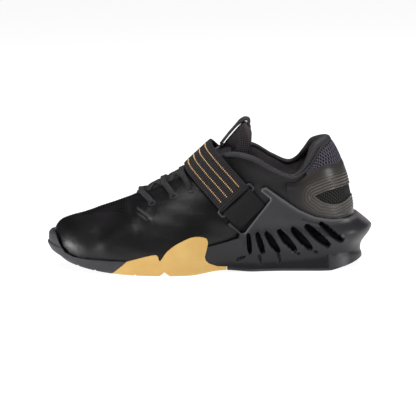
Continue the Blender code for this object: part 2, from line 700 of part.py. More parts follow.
class Wrap:
    """Places on the strap's round: smoothed heights over its axis, kept clear of the upper."""

    def __init__(self, tree):
        self.angles = np.arange(-WRAP_REACH, WRAP_REACH + 1, WRAP_STEP)
        lines = [strap_line(tree, angle) for angle in self.angles]
        level = np.array([line[0] for line in lines])
        slope = np.array([line[1] for line in lines])
        kernel = np.array((1, 2, 3, 2, 1)) / 9
        smooth = np.convolve(np.pad(level, 2, mode="edge"), kernel, "valid")
        self.level = smooth + max(0.0, (level - smooth).max())
        self.slope = np.convolve(np.pad(slope, 2, mode="edge"), kernel, "valid")
        self.level += np.abs(self.slope - slope) * STRAP_WIDTH / 2

    def point(self, angle, height, across):
        a = math.radians(angle)
        way = STRAP_UP * math.cos(a) + OUTER_WAY * math.sin(a)
        level = np.interp(angle, self.angles, self.level)
        slope = np.interp(angle, self.angles, self.slope)
        return STRAP_AXIS + STRAP_WIDE * across + way * (level + slope * across + height)

    def ribbon(self, name, path, width, thick, finish):
        """A flat band along (angle, height) places, its width straight across."""
        rows = []
        for i, (angle, height) in enumerate(path):
            before, after = path[max(i - 1, 0)], path[min(i + 1, len(path) - 1)]
            ahead = self.point(*after, 0.0) - self.point(*before, 0.0)
            up = unit(np.cross(ahead, STRAP_WIDE)) * thick / 2
            near = self.point(angle, height, -width / 2)
            far = self.point(angle, height, width / 2)
            rows.append([near + up, far + up, far - up, near - up])
        return body_from_rows(name, rows, finish)

    def fold(self, bar_angle, bar_height, radius, towards):
        """Half a turn round a ring bar, from below to above it, as (angle, height) places."""
        turn = []
        level = np.interp(bar_angle, self.angles, self.level)
        for k in range(1, 6):
            a = math.radians(-90 + 30 * k)
            swing = math.degrees(radius * math.cos(a) / level)
            turn.append((bar_angle + towards * swing, bar_height + radius * math.sin(a)))
        return turn


def make_strap(wrap):
    """The strap from under the inner wing, over the top, through the ring and back."""
    low = RIBBON_CLEAR + STRAP_THICK / 2
    bar = low + STRAP_THICK / 2 + GAP + BAR_RADIUS
    radius = BAR_RADIUS + GAP + STRAP_THICK / 2
    top = bar + radius
    over_low = low + STRAP_THICK + GAP
    turn = int(STRAP_BAR)
    path = [(angle, low) for angle in range(STRAP_START, turn - 1, STRAP_STEP)]
    path += [(STRAP_BAR, low)] + wrap.fold(STRAP_BAR, bar, radius, 1) + [(STRAP_BAR, top)]
    path += [(STRAP_BAR - 8, top - 0.0008), (STRAP_BAR - 16, over_low + 0.0006)]
    path += [(angle, over_low) for angle in range(turn - 24, STRAP_END, -STRAP_STEP)]
    wrap.ribbon("strap", path, STRAP_WIDTH, STRAP_THICK, "webbing")
    return bar


def make_tab(wrap, bar):
    """The short band from under the outer wing, through the ring and back."""
    low = RIBBON_CLEAR + TAB_THICK / 2
    radius = BAR_RADIUS + GAP + TAB_THICK / 2
    top = bar + radius
    over_low = low + TAB_THICK + GAP
    path = [(angle, low) for angle in range(TAB_START, int(TAB_BAR) + 10, -TAB_STEP)]
    path += [(TAB_BAR + 8, low + 0.0004), (TAB_BAR, bar - radius)]
    path += wrap.fold(TAB_BAR, bar, radius, -1)
    path += [(TAB_BAR, top), (TAB_BAR + 7, top - 0.0008), (TAB_BAR + 14, over_low + 0.0007)]
    path += [(angle, over_low) for angle in TAB_RETURN]
    wrap.ribbon("strap_tab", path, TAB_WIDTH, TAB_THICK, "webbing")


def poly_curve(name, places, radius):
    """A round wire through the places, as a curve object in the shoe's collection."""
    curve = bpy.data.curves.new(name, "CURVE")
    curve.dimensions = "3D"
    line = curve.splines.new("POLY")
    line.points.add(len(places) - 1)
    for point, place in zip(line.points, places):
        point.co = (*place, 1.0)
    curve.bevel_depth = radius
    curve.bevel_resolution = 2
    holder = bpy.data.objects.new(name, curve)
    SHOE.objects.link(holder)
    return holder


def make_ring(wrap, bar_height):
    """The loop that joins strap and tab: two bars and two rounded ends."""
    corners = []
    straight = STRAP_WIDTH / 2 - RING_INSET
    for bar, far_bar, way in ((STRAP_BAR, TAB_BAR, 1), (TAB_BAR, STRAP_BAR, -1)):
        for across in RING_BAR_SHARES:
            corners.append(wrap.point(bar, bar_height, way * across * straight))
        for share, reach in RING_END_SHARES:
            angle = bar + (far_bar - bar) * share
            corners.append(wrap.point(angle, bar_height, way * RING_REACH * reach))
    ring = poly_curve("strap_ring", corners, BAR_RADIUS - GAP / 2)
    ring.data.splines[0].use_cyclic_u = True
    ring.data.materials.append(material("cage"))


def pocket_for(wrap, name, way):
    """The hollow under a wing that a band end slides into."""
    thick = RIBBON_CLEAR + STRAP_THICK + 2 * GAP + POCKET_ROOM
    step = (POCKET_TO - POCKET_FROM) / POCKET_STEPS
    height = thick / 2 - POCKET_ROOM
    path = [(way * (POCKET_FROM + step * k), height) for k in range(POCKET_STEPS + 1)]
    return wrap.ribbon(name, path, STRAP_WIDTH + POCKET_SIDE, thick, None)


def tube_mesh(name, places, radius):
    holder = poly_curve(name, places, radius)
    holder.data.use_fill_caps = True
    bpy.context.view_layer.update()
    graph = bpy.context.evaluated_depsgraph_get()
    mesh = bpy.data.meshes.new_from_object(holder.evaluated_get(graph))
    bpy.data.objects.remove(holder)
    form = bmesh.new()
    form.from_mesh(mesh)
    bmesh.ops.remove_doubles(form, verts=form.verts, dist=1e-6)
    form.to_mesh(mesh)
    form.free()
    return mesh


def lace_route(start, outer_rib, inner_rib, crest_x, rise):
    """A lace from the outer eyelet over the throat to the inner one."""
    heights = (start, (start + LACE_EDGE) / 2, LACE_EDGE, 1.0)
    clear = LACE_RADIUS + LACE_CLEAR
    near = [over(outer_rib, h, clear) for h in heights]
    far = [over(-inner_rib, h, clear) for h in heights]
    crest_z = max(near[-1][2], far[-1][2]) + rise
    crest = [np.array((crest_x, 0.0, crest_z))]
    for y in (-LACE_CREST_Y, LACE_CREST_Y):
        crest.append(np.array((crest_x, y, crest_z - LACE_CREST_DROP)))
    return [*near, crest[1], crest[0], crest[2], *far[::-1]]


def make_laces():
    routes = [lace_route(EYELET_HEIGHT, **dict(zip(LACE, bar))) for bar in LACE_BARS]
    routes += [lace_route(CROSS_HEIGHT, **dict(zip(LACE, cross))) for cross in LACE_CROSSES]
    meshes = [tube_mesh(f"lace_{n}", route, LACE_RADIUS) for n, route in enumerate(routes)]
    laces = add_object("laces", meshes[0], "webbing")
    for mesh in meshes[1:]:
        boolean(laces, add_object(mesh.name, mesh), "UNION")


def plate(name, finish, reach, levels, thick, rows):
    """A thin piece on the upper between two heights, given as functions of the place."""
    first, last = reach
    low, high = levels
    sections = []
    count = round((last - first) * SIDE_COLUMNS)
    for i in range(count + 1):
        place = first + (last - first) * i / count
        bottom, top = low(place), high(place)
        steps = [bottom + (top - bottom) * j / rows for j in range(rows + 1)]
        outer = [over(place, h, GAP + thick) for h in steps]
        under = [over(place, h, GAP) for h in reversed(steps)]
        sections.append(outer + under)
    return body_from_rows(name, sections, finish)


def film_low(place):
    return FILM_LOW


def film_high(place):
    aside = smoothstep(1.0, 3.2, abs(place - HEEL_ROW))
    return FILM_BACK_HIGH + (FILM_SIDE_HIGH - FILM_BACK_HIGH) * aside


def band_low(place):
    return BAND_LOW


def band_high(place):
    return BAND_HIGH


def make_heel_film():
    levels = (film_low, film_high)
    film = plate("heel_film", "cage", (FILM_FROM, FILM_TO), levels, FILM_THICK, 6)
    top = shifted(CAGE_TOP, 0.0, 2 * GAP)
    outline = [(top[0][0], 0.0), *top, (BEHIND, 0.0)]
    boolean(film, prism("under_film", outline), "DIFFERENCE")
    boolean(film, prism("film_window", WINDOW), "DIFFERENCE")


def make_collar_band():
    levels = (band_low, band_high)
    plate("collar_band", "mesh", (BAND_FROM, BAND_TO), levels, BAND_THICK, 2)


def make_pull_loop():
    """A ribbon that stands off the front of the tongue up to its tip."""
    rows = []
    last = len(LOOP_LINE) - 1
    side = np.array((0.0, LOOP_HALF_WIDTH, 0.0))
    for i, (x, z) in enumerate(LOOP_LINE):
        before, after = LOOP_LINE[max(i - 1, 0)], LOOP_LINE[min(i + 1, last)]
        front = unit(np.array((before[1] - after[1], 0.0, after[0] - before[0]))) * LOOP_THICK / 2
        middle = np.array((x, 0.0, z))
        rows.append(
            [
                middle + front - side,
                middle + front + side,
                middle - front + side,
                middle - front - side,
            ]
        )
    body_from_rows("pull_loop", rows, "webbing")


def skin_y(side_tree, place, side):
    """How far out the cage's flank lies at a place in the side view."""
    start = Vector((place[0], side * 2 * CUT_WIDTH, place[1]))
    return side_tree.ray_cast(start, Vector((0, -side, 0)))[0].y


def gill_rows(pockets, side_tree, gill, side):
    """The four-cornered sections of one hollow, drawn from over the skin to its floor."""
    top = np.array((gill["top_x"], gill["top_z"]))
    low = np.array((gill["low_x"], gill["low_z"]))
    run = unit(low - top)
    square = np.array((-run[1], run[0]))
    rows = []
    for share, wide, deep in GILL_SECTIONS:
        spot = top + (low - top) * share
        skin = skin_y(side_tree, spot, side)
        outer, inner = skin + side * GILL_REACH, skin - side * GILL_DEPTH * deep
        half = square * gill["width"] / 2 * wide
        corners = [(spot + half, outer), (spot - half, outer)]
        corners += [(spot - half * GILL_FLOOR, inner), (spot + half * GILL_FLOOR, inner)]
        rows.append([pockets.verts.new((c[0], y, c[1])) for c, y in corners])
    return rows


def cut_gills(cage):
    """Slanted hollows sunk into both flanks of the heel cage."""
    form = bmesh.new()
    form.from_mesh(cage.data)
    side_tree = BVHTree.FromBMesh(form)
    form.free()
    pockets = bmesh.new()
    for numbers in GILLS:
        for side in (-1, 1):
            rows = gill_rows(pockets, side_tree, dict(zip(GILL, numbers)), side)
            for near, far in zip(rows, rows[1:]):
                for j in range(4):
                    k = (j + 1) % 4
                    pockets.faces.new((near[j], far[j], far[k], near[k]))
            pockets.faces.new(rows[0])
            pockets.faces.new(rows[-1][::-1])
    bmesh.ops.recalc_face_normals(pockets, faces=pockets.faces)
    mesh = bpy.data.meshes.new("gills")
    pockets.to_mesh(mesh)
    pockets.free()
    boolean(cage, add_object("gills", mesh), "DIFFERENCE")


for left_over in list(bpy.data.objects):
    bpy.data.objects.remove(left_over)
SHOE = bpy.data.collections.new("weightlifting_shoe")
CUTTERS = bpy.data.collections.new("cutters")
bpy.context.scene.collection.children.link(SHOE)
bpy.context.scene.collection.children.link(CUTTERS)

make_upper()
cage = make_sole()
cut_gills(cage)
make_insole()
tree = upper_tree()
make_tongue(tree)
wrap = Wrap(tree)
bar_height = make_strap(wrap)
make_tab(wrap, bar_height)
make_ring(wrap, bar_height)
boolean(cage, pocket_for(wrap, "outer_pocket", 1), "DIFFERENCE")
boolean(cage, pocket_for(wrap, "inner_pocket", -1), "DIFFERENCE")
make_laces()
make_heel_film()
make_collar_band()
make_pull_loop()
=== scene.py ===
# %% [markdown]
# # Dressing a weightlifting shoe
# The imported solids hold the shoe's true shape in a few thousand flat faces. This lesson lays
# finer skins over them: smooth leather, a ribbed heel cage, a stitched elastic strap, laces,
# mesh, film and rubber. Each piece is worked out in the frame of the solids, in metres: the
# toe lies along -X, the outer side along -Y, and the floor is at zero.

# %% Load the solids
import math

import bmesh
import bpy
import numpy as np
from mathutils import Matrix, Vector
from mathutils.bvhtree import BVHTree


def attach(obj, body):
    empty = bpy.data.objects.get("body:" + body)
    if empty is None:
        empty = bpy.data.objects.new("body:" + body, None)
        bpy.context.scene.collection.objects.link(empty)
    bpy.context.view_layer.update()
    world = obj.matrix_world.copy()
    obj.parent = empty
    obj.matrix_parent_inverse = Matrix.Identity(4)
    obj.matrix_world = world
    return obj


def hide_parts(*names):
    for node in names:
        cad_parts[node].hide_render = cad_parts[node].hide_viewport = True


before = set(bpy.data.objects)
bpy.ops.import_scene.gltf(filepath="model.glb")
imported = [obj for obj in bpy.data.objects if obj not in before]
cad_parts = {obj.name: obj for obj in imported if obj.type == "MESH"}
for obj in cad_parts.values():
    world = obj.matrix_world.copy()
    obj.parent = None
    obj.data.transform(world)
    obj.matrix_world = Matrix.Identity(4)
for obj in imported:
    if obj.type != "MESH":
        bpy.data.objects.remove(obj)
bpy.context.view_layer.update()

# %% [markdown]
# The upper's shape. A shoemaker draws an upper as lines on a last, from the feather line,
# where it meets the sole, to the top edge. One row below is such a line: x and y at the
# feather line, x, y and z at the edge, then how far its low and its high handle reach out and
# up. A drawn curve per rib could be skinned by hand, but a table keeps both sides, the sole
# and every overlay on exactly the same surface.

# %% Ribs of the upper, from toe tip to heel back
GAP = 0.0003
WALL = 0.0022
COLLAR_PAD = 0.0062
HEEL_PAD = 0.0098
THROAT_ROW = 5
HEEL_ROW = 15
OUTER_RIBS = (
    (-0.2515, 0.0080, -0.2340, 0.0060, 0.0490, 0.0040, 0.012, 0.019, -0.0005),
    (-0.2440, -0.0120, -0.2290, 0.0050, 0.0508, 0.0045, 0.013, 0.019, -0.0005),
    (-0.2300, -0.0250, -0.2200, 0.0040, 0.0535, 0.0045, 0.016, 0.020, -0.0010),
    (-0.2110, -0.0335, -0.2070, 0.0030, 0.0585, 0.0045, 0.020, 0.021, -0.0020),
    (-0.1880, -0.0410, -0.1930, 0.0020, 0.0630, 0.0045, 0.022, 0.026, -0.0030),
    (-0.1640, -0.0465, -0.1780, 0.0010, 0.0685, 0.0045, 0.024, 0.030, -0.0040),
    (-0.1430, -0.0490, -0.1620, -0.0100, 0.0745, 0.0045, 0.026, 0.024, -0.0070),
    (-0.1230, -0.0475, -0.1410, -0.0160, 0.0840, 0.0045, 0.028, 0.021, -0.0100),
    (-0.1020, -0.0435, -0.1160, -0.0200, 0.0955, 0.0035, 0.030, 0.018, -0.0150),
    (-0.0820, -0.0385, -0.0890, -0.0265, 0.1105, 0.0020, 0.030, 0.010, -0.0250),
    (-0.0620, -0.0345, -0.0660, -0.0335, 0.1085, 0.0020, 0.026, 0.004, -0.0280),
    (-0.0400, -0.0335, -0.0450, -0.0365, 0.0965, 0.0030, 0.022, 0.001, -0.0240),
    (-0.0160, -0.0340, -0.0260, -0.0350, 0.0895, 0.0040, 0.022, 0.003, -0.0200),
    (0.0070, -0.0305, -0.0110, -0.0290, 0.0995, 0.0035, 0.024, 0.008, -0.0160),
    (0.0240, -0.0190, -0.0025, -0.0180, 0.1160, 0.0035, 0.028, 0.013, -0.0080),
    (0.0305, 0.0000, 0.0020, 0.0000, 0.1240, 0.0030, 0.030, 0.017, -0.0020),
)
INNER_RIBS = (
    OUTER_RIBS[0],
    (-0.2440, 0.0250, -0.2290, 0.0050, 0.0508, 0.0045, 0.013, 0.019, -0.0005),
    (-0.2300, 0.0355, -0.2200, 0.0040, 0.0535, 0.0045, 0.017, 0.020, -0.0010),
    (-0.2110, 0.0410, -0.2070, 0.0030, 0.0585, 0.0045, 0.022, 0.021, -0.0020),
    (-0.1880, 0.0450, -0.1930, 0.0020, 0.0630, 0.0040, 0.026, 0.026, -0.0020),
    (-0.1640, 0.0465, -0.1780, 0.0010, 0.0685, 0.0035, 0.030, 0.030, -0.0030),
    (-0.1430, 0.0445, -0.1620, 0.0110, 0.0750, 0.0030, 0.032, 0.022, -0.0060),
    (-0.1230, 0.0400, -0.1410, 0.0165, 0.0850, 0.0025, 0.034, 0.019, -0.0100),
    (-0.1020, 0.0345, -0.1160, 0.0205, 0.0970, 0.0030, 0.034, 0.016, -0.0170),
    (-0.0820, 0.0300, -0.0890, 0.0265, 0.1125, 0.0035, 0.032, 0.010, -0.0250),
    (-0.0620, 0.0290, -0.0650, 0.0335, 0.1120, 0.0040, 0.028, 0.004, -0.0280),
    (-0.0400, 0.0300, -0.0450, 0.0365, 0.1005, 0.0045, 0.024, 0.001, -0.0240),
    (-0.0160, 0.0320, -0.0270, 0.0350, 0.0940, 0.0045, 0.022, 0.003, -0.0200),
    (0.0070, 0.0295, -0.0120, 0.0290, 0.1020, 0.0035, 0.024, 0.008, -0.0160),
    (0.0240, 0.0185, -0.0030, 0.0180, 0.1165, 0.0035, 0.028, 0.013, -0.0080),
    OUTER_RIBS[15],
)


def closed_rows(outer, inner):
    """Both sides as one ring: outer side back to the heel, inner side forward again."""
    return np.array(list(outer) + list(inner[-2:0:-1]))


RIBS = closed_rows(OUTER_RIBS, INNER_RIBS)
RING = len(RIBS)
print("ribs:", RING)

# %% [markdown]
# The sole's side. Under each rib the sole has a tread edge (outer x and y, inner x and y), a
# waist and a flare (how far out, how high) and a cover over the upper (how thick). A few rows
# differ on the inner side. The same table shapes toe rubber, gold wrap, heel cage and tread.

# %% Rows of the sole's side
SIDE_ROWS = (
    (-0.2500, 0.0080, -0.2500, 0.0080, 0.0055, 0.006, 0.0075, 0.013, 0.0030),
    (-0.2430, -0.0130, -0.2430, 0.0275, 0.0040, 0.006, 0.0055, 0.012, 0.0028),
    (-0.2310, -0.0265, -0.2310, 0.0385, 0.0020, 0.006, 0.0025, 0.011, 0.0024),
    (-0.2120, -0.0370, -0.2120, 0.0450, 0.0010, 0.006, 0.0012, 0.010, 0.0022),
    (-0.1880, -0.0445, -0.1880, 0.0495, 0.0010, 0.006, 0.0012, 0.010, 0.0022),
    (-0.1630, -0.0500, -0.1630, 0.0510, 0.0010, 0.006, 0.0012, 0.011, 0.0024),
    (-0.1430, -0.0530, -0.1430, 0.0485, 0.0008, 0.007, 0.0010, 0.013, 0.0026),
    (-0.1230, -0.0520, -0.1230, 0.0435, 0.0005, 0.008, 0.0010, 0.015, 0.0030),
    (-0.1030, -0.0465, -0.1030, 0.0380, 0.0000, 0.009, 0.0015, 0.018, 0.0040),
    (-0.0820, -0.0415, -0.0820, 0.0335, -0.0010, 0.010, 0.0020, 0.022, 0.0050),
    (-0.0600, -0.0380, -0.0600, 0.0330, -0.0010, 0.011, 0.0035, 0.025, 0.0056),
    (-0.0380, -0.0375, -0.0380, 0.0350, -0.0015, 0.012, 0.0040, 0.028, 0.0056),
    (-0.0140, -0.0395, -0.0140, 0.0380, -0.0020, 0.014, 0.0030, 0.030, 0.0054),
    (0.0065, -0.0395, 0.0065, 0.0385, -0.0030, 0.016, 0.0020, 0.032, 0.0050),
    (0.0280, -0.0270, 0.0280, 0.0265, -0.0020, 0.018, 0.0060, 0.034, 0.0046),
    (0.0385, 0.0000, 0.0385, 0.0000, -0.0005, 0.019, 0.0090, 0.036, 0.0044),
)
INNER_CHANGES = {
    9: (0.0000, 0.010, 0.0025, 0.022, 0.0050),
    10: (0.0000, 0.011, 0.0035, 0.025, 0.0056),
    11: (-0.0010, 0.012, 0.0035, 0.028, 0.0056),
}
OUTER_SIDE = [row[:2] + row[4:] for row in SIDE_ROWS]
INNER_SIDE = [row[2:4] + INNER_CHANGES.get(k, row[4:]) for k, row in enumerate(SIDE_ROWS)]
TREAD_EDGE = 0.0022
WALL_LEVELS = (0.20, 0.32, 0.44, 0.56, 0.68, 0.80)
SIDES = closed_rows(OUTER_SIDE, INNER_SIDE)
print("rows of the sole's side:", len(SIDES))

# %% [markdown]
# Heights of the sole and the outlines that part it, read along the shoe and up. The same
# numbers part the solids, so the dressed pieces stay on them. A hollow of the cage is a line
# from its top to its low end (x, z, x, z) and a width; a groove is a place, a width, a depth.

# %% Sole sizes and outlines
LENGTH_TO_TOE = 0.2575
SOLE_AT_TOE = 0.005
SOLE_AT_BALL = 0.008
SOLE_AT_HEEL = 0.030
TOE_SPRING = 0.014
TOE_SPRING_START = -0.165
ARCH_LIFT = 0.003
ARCH_FRONT, ARCH_BACK = -0.125, -0.062
HEEL_TREAD = 0.0028
TOE_RAND = (
    (-0.1830, 0.0136), (-0.2050, 0.0134), (-0.2200, 0.0138), (-0.2330, 0.0152), (-0.2410, 0.0185),
    (-0.2462, 0.0250), (-0.2482, 0.0300), (-0.2500, 0.0338), (-0.2525, 0.0362), (-0.2620, 0.0366),
)
TOE_SEAM = ((-0.1985, 0.0), (-0.1830, 0.0130))
FOREFOOT_TOP = (
    (-0.1830, 0.0130), (-0.1660, 0.0178), (-0.1545, 0.0197), (-0.1515, 0.0145), (-0.1455, 0.0220),
    (-0.1375, 0.0284), (-0.1265, 0.0338), (-0.1195, 0.0358), (-0.1140, 0.0358), (-0.1082, 0.0342),
    (-0.1066, 0.0303),
)
ARCH_SEAM = (
    (-0.1072, 0.0265), (-0.1096, 0.0175), (-0.1088, 0.0139), (-0.1058, 0.0108), (-0.0985, 0.0078),
    (-0.0895, 0.0068),
)
CAGE_TOP = (
    (-0.1041, 0.0270), (-0.0900, 0.0300), (-0.0787, 0.0330), (-0.0768, 0.0370), (-0.0815, 0.0415),
    (-0.0872, 0.0450), (-0.0878, 0.0472), (-0.0862, 0.0482), (-0.0756, 0.0378), (-0.0720, 0.0382),
    (-0.0482, 0.0680), (-0.0488, 0.0705), (-0.0565, 0.0770), (-0.0560, 0.0792), (-0.0520, 0.0803),
    (-0.0390, 0.0705), (-0.0217, 0.0585), (-0.0070, 0.0515), (0.0085, 0.0480), (0.0246, 0.0470),
    (0.0345, 0.0478), (0.0520, 0.0345),
)
HEEL_TREAD_FRONT = -0.0892
GILLS = (
    (-0.0690, 0.0360, -0.0678, 0.0190, 0.0040), (-0.0604, 0.0360, -0.0556, 0.0190, 0.0052),
    (-0.0518, 0.0365, -0.0416, 0.0198, 0.0062), (-0.0400, 0.0385, -0.0262, 0.0208, 0.0068),
    (-0.0272, 0.0400, -0.0120, 0.0226, 0.0072), (-0.0142, 0.0425, 0.0048, 0.0250, 0.0072),
    (-0.0012, 0.0445, 0.0175, 0.0285, 0.0060),
)
GILL_DEPTH = 0.0045
TOE_GROOVES = ((-0.2290, 0.0024, 0.0016), (-0.2125, 0.0024, 0.0014))
FOREFOOT_GROOVES = ((-0.1474, 0.0100, 0.0042), (-0.1750, 0.0026, 0.0014))
print("cage outline points:", len(CAGE_TOP), "hollows a side:", len(GILLS))

# %% [markdown]
# Reading the tables. A smooth curve through the rows gives a place between two ribs, and a
# height from 0 to 1 runs up each rib. numpy reads thousands of places in one call, which
# keeps dense skins quick.

# %% Surface functions
UP = np.array((0.0, 0.0, 1.0))


def unit(vectors):
    """The same directions with a length of one."""
    return vectors / np.linalg.norm(vectors, axis=-1, keepdims=True)


def lengths(path):
    """How far along a path each of its points lies."""
    return np.concatenate(([0], np.cumsum(np.linalg.norm(np.diff(path, axis=0), axis=1))))


def smoothstep(low, high, value):
    t = np.clip((value - low) / (high - low), 0.0, 1.0)
    return t * t * (3 - 2 * t)


def toe_spring(x):
    ahead = np.maximum(0.0, (TOE_SPRING_START - x) / (TOE_SPRING_START + LENGTH_TO_TOE))
    return TOE_SPRING * ahead**2.2


def floor_lift(x):
    """Height of the tread over the floor: toe spring in front, a low arch in the waist."""
    share = np.clip((x - ARCH_FRONT) / (ARCH_BACK - ARCH_FRONT), 0.0, 1.0)
    return toe_spring(x) + ARCH_LIFT * np.sin(math.pi * share) ** 2


def seat(x):
    """Height of the surface that the upper and the footbed stand on."""
    front = SOLE_AT_TOE + (SOLE_AT_BALL - SOLE_AT_TOE) * smoothstep(-0.235, -0.17, x)
    rise = (SOLE_AT_HEEL - SOLE_AT_BALL) * smoothstep(-0.155, -0.030, x)
    return front + rise + toe_spring(x)

# %% [markdown]
# Curves through the tables. The pull of a row on its neighbours is limited to four rows, so a
# number can be corrected in one place without a change in the rest of the shoe. A spline from
# the menu would bend as well, but could not be read at thousands of places in one call.

# %% Curves through the tables
def between(a, b, c, d, t):
    """A smooth curve from b to c that heads from a and towards d."""
    return 0.5 * (2 * b + (c - a) * t + (2 * a - 5 * b + 4 * c - d) * t**2 + (3 * b - a - 3 * c + d) * t**3)


def on_ring(rows, place):
    place = np.atleast_1d(np.asarray(place, float))
    i = np.floor(place).astype(int)
    a, b, c, d = (rows[(i + k) % RING] for k in (-1, 0, 1, 2))
    return between(a, b, c, d, (place - i)[:, None])


def through(knots, steps):
    """A finer row of points on a smooth curve through the knots."""
    knots = np.asarray(knots, float)
    last = len(knots) - 1
    fine = []
    for s in range(last * steps + 1):
        i = min(s // steps, last - 1)
        a, b, c, d = (knots[min(max(i + k, 0), last)] for k in (-1, 0, 1, 2))
        fine.append(between(a, b, c, d, s / steps - i))
    return np.array(fine)


def outward(rows, place):
    """The level direction that points out of a ring's plan outline."""
    ahead = on_ring(rows, place + 0.05) - on_ring(rows, place - 0.05)
    out = np.stack((ahead[:, 1], -ahead[:, 0], 0 * ahead[:, 0]), axis=1)
    return unit(out)

# %% [markdown]
# The surface itself. A point is found from its place round the ring and its height up the rib,
# and its normal from its neighbours. With both, a piece can lie at any small height over the
# leather. The last lines measure how far a spot in the side view lies from a drawn line.

# %% The upper's surface
def rib_point(place, height):
    """Points of the upper's outer face, 0 at the feather line and 1 at the top edge."""
    place, height = np.broadcast_arrays(np.atleast_1d(np.asarray(place, float)), height)
    row = on_ring(RIBS, place)
    out = outward(RIBS, place)
    foot = np.stack((row[:, 0], row[:, 1], seat(row[:, 0]) + GAP), axis=1)
    across = np.minimum(place % RING, RING - place % RING)
    shared = (row[:, 2:5] + on_ring(RIBS, -place)[:, 2:5]) / 2
    edge = np.where((across < THROAT_ROW + 0.001)[:, None], shared, row[:, 2:5])
    low = foot + out * row[:, 5:6] + UP * row[:, 6:7]
    high = edge + out * row[:, 7:8] + UP * row[:, 8:9]
    t = height[:, None]
    s = 1 - t
    return s**3 * foot + 3 * s * s * t * low + 3 * s * t * t * high + t**3 * edge


def rib_normal(place, height):
    h = np.clip(height, 0.01, 0.97)
    along = rib_point(place + 0.04, h) - rib_point(place - 0.04, h)
    up = rib_point(place, h + 0.01) - rib_point(place, h - 0.01)
    return unit(np.cross(along, up))


def over(place, height, offset):
    """Points that far outside the upper's face, or inside it where negative."""
    place, height = np.broadcast_arrays(np.atleast_1d(np.asarray(place, float)), height)
    offset = np.broadcast_to(offset, place.shape)
    return rib_point(place, height) + rib_normal(place, height) * offset[:, None]


def near_line(line, x, z):
    """How far places in the side view lie from a line of points."""
    nearest = np.full(np.shape(x), 1.0)
    for (ax, az), (bx, bz) in zip(line, line[1:]):
        dx, dz = bx - ax, bz - az
        t = np.clip(((x - ax) * dx + (z - az) * dz) / (dx * dx + dz * dz), 0, 1)
        nearest = np.minimum(nearest, np.hypot(x - ax - dx * t, z - az - dz * t))
    return nearest


def beside(line, x, z, reach):
    """1 on a line in the side view, and softly less with the distance from it."""
    return np.exp(-((near_line(line, x, z) / reach) ** 2))


print("heel back at", rib_point(15.0, 1.0)[0].round(4))

# %% [markdown]
# Making meshes. Every skin starts as a grid from bmesh, whose points are then moved to their
# places on the shoe. A grid brings tidy quads and a UV map in one step, which a hand-written
# list of faces would not. The UV map is stretched to metres, so a weave keeps its real size.

# %% Grids and pieces
SHARP_ANGLE = math.radians(42)
CUT_REACH = 0.09


def add_object(name, data):
    item = bpy.data.objects.new(name, data)
    bpy.context.scene.collection.objects.link(item)
    return item


def mesh_of(form, name):
    mesh = bpy.data.meshes.new(name)
    form.to_mesh(mesh)
    form.free()
    return mesh


def smooth(mesh):
    mesh.shade_smooth()
    mesh.set_sharp_from_angle(angle=SHARP_ANGLE)


def add_piece(name, form, finish):
    """An object from a bmesh, with its finish or its outer and inner finish."""
    mesh = mesh_of(form, name)
    for layer in finish if isinstance(finish, tuple) else (finish,):
        mesh.materials.append(layer)
    smooth(mesh)
    return add_object(name, mesh)


def draped(name, points, finish, uv=None, capped=False, flat_faces=False):
    """A grid laid over an array of places: rows along it, columns across."""
    along, across = points.shape[:2]
    if uv is None:
        u = np.linalg.norm(np.diff(points, axis=0), axis=2).mean(axis=1)
        v = np.linalg.norm(np.diff(points, axis=1), axis=2).mean(axis=0)
        u, v = np.concatenate(([0], np.cumsum(u))), np.concatenate(([0], np.cumsum(v)))
        uv = np.stack(np.meshgrid(u, v, indexing="ij"), axis=2)
    form = bmesh.new()
    layer = form.loops.layers.uv.new("UVMap")
    bmesh.ops.create_grid(form, x_segments=along - 1, y_segments=across - 1, size=0.5, calc_uvs=True)
    for vert in form.verts:
        i, j = round((vert.co.x + 0.5) * (along - 1)), round((vert.co.y + 0.5) * (across - 1))
        vert.co = points[i, j]
        for loop in vert.link_loops:
            loop[layer].uv = uv[i, j]
    bmesh.ops.remove_doubles(form, verts=form.verts, dist=1e-6)
    bmesh.ops.dissolve_degenerate(form, dist=1e-6, edges=form.edges)
    if capped:
        bmesh.ops.holes_fill(form, edges=[e for e in form.edges if e.is_boundary], sides=0)
    if flat_faces:
        bmesh.ops.triangulate(form, faces=form.faces)
    bmesh.ops.recalc_face_normals(form, faces=form.faces)
    return add_piece(name, form, finish)


def settled(piece):
    """The piece with its modifiers worked into its mesh."""
    bpy.context.view_layer.update()
    graph = bpy.context.evaluated_depsgraph_get()
    mesh = bpy.data.meshes.new_from_object(piece.evaluated_get(graph))
    piece.modifiers.clear()
    piece.data = mesh
    smooth(mesh)
    return piece

# %% [markdown]
# Carving and sweeping. A part's outline in the side view is cut right through, as a die cuts
# sheet, with an exact Boolean, which keeps sharp parting lines. Cords and bands are an oval
# swept along a path; a curve object with a bevel would do, but gives no say over its facing.

# %% Carving and sweeping
def carve(piece, outline, operation):
    """Keeps or removes what lies inside a side outline drawn right across the shoe."""
    form = bmesh.new()
    face = form.faces.new([form.verts.new((x, -CUT_REACH, z)) for x, z in outline])
    drawn = bmesh.ops.extrude_face_region(form, geom=[face])
    far = [v for v in drawn["geom"] if isinstance(v, bmesh.types.BMVert)]
    bmesh.ops.translate(form, verts=far, vec=(0, 2 * CUT_REACH, 0))
    bmesh.ops.triangulate(form, faces=form.faces)
    bmesh.ops.recalc_face_normals(form, faces=form.faces)
    cutter = add_object("cutter", mesh_of(form, "cutter"))
    cut = piece.modifiers.new("cut", "BOOLEAN")
    cut.operation, cut.object, cut.solver = operation, cutter, "EXACT"
    settled(piece)
    bpy.data.objects.remove(cutter)
    return piece


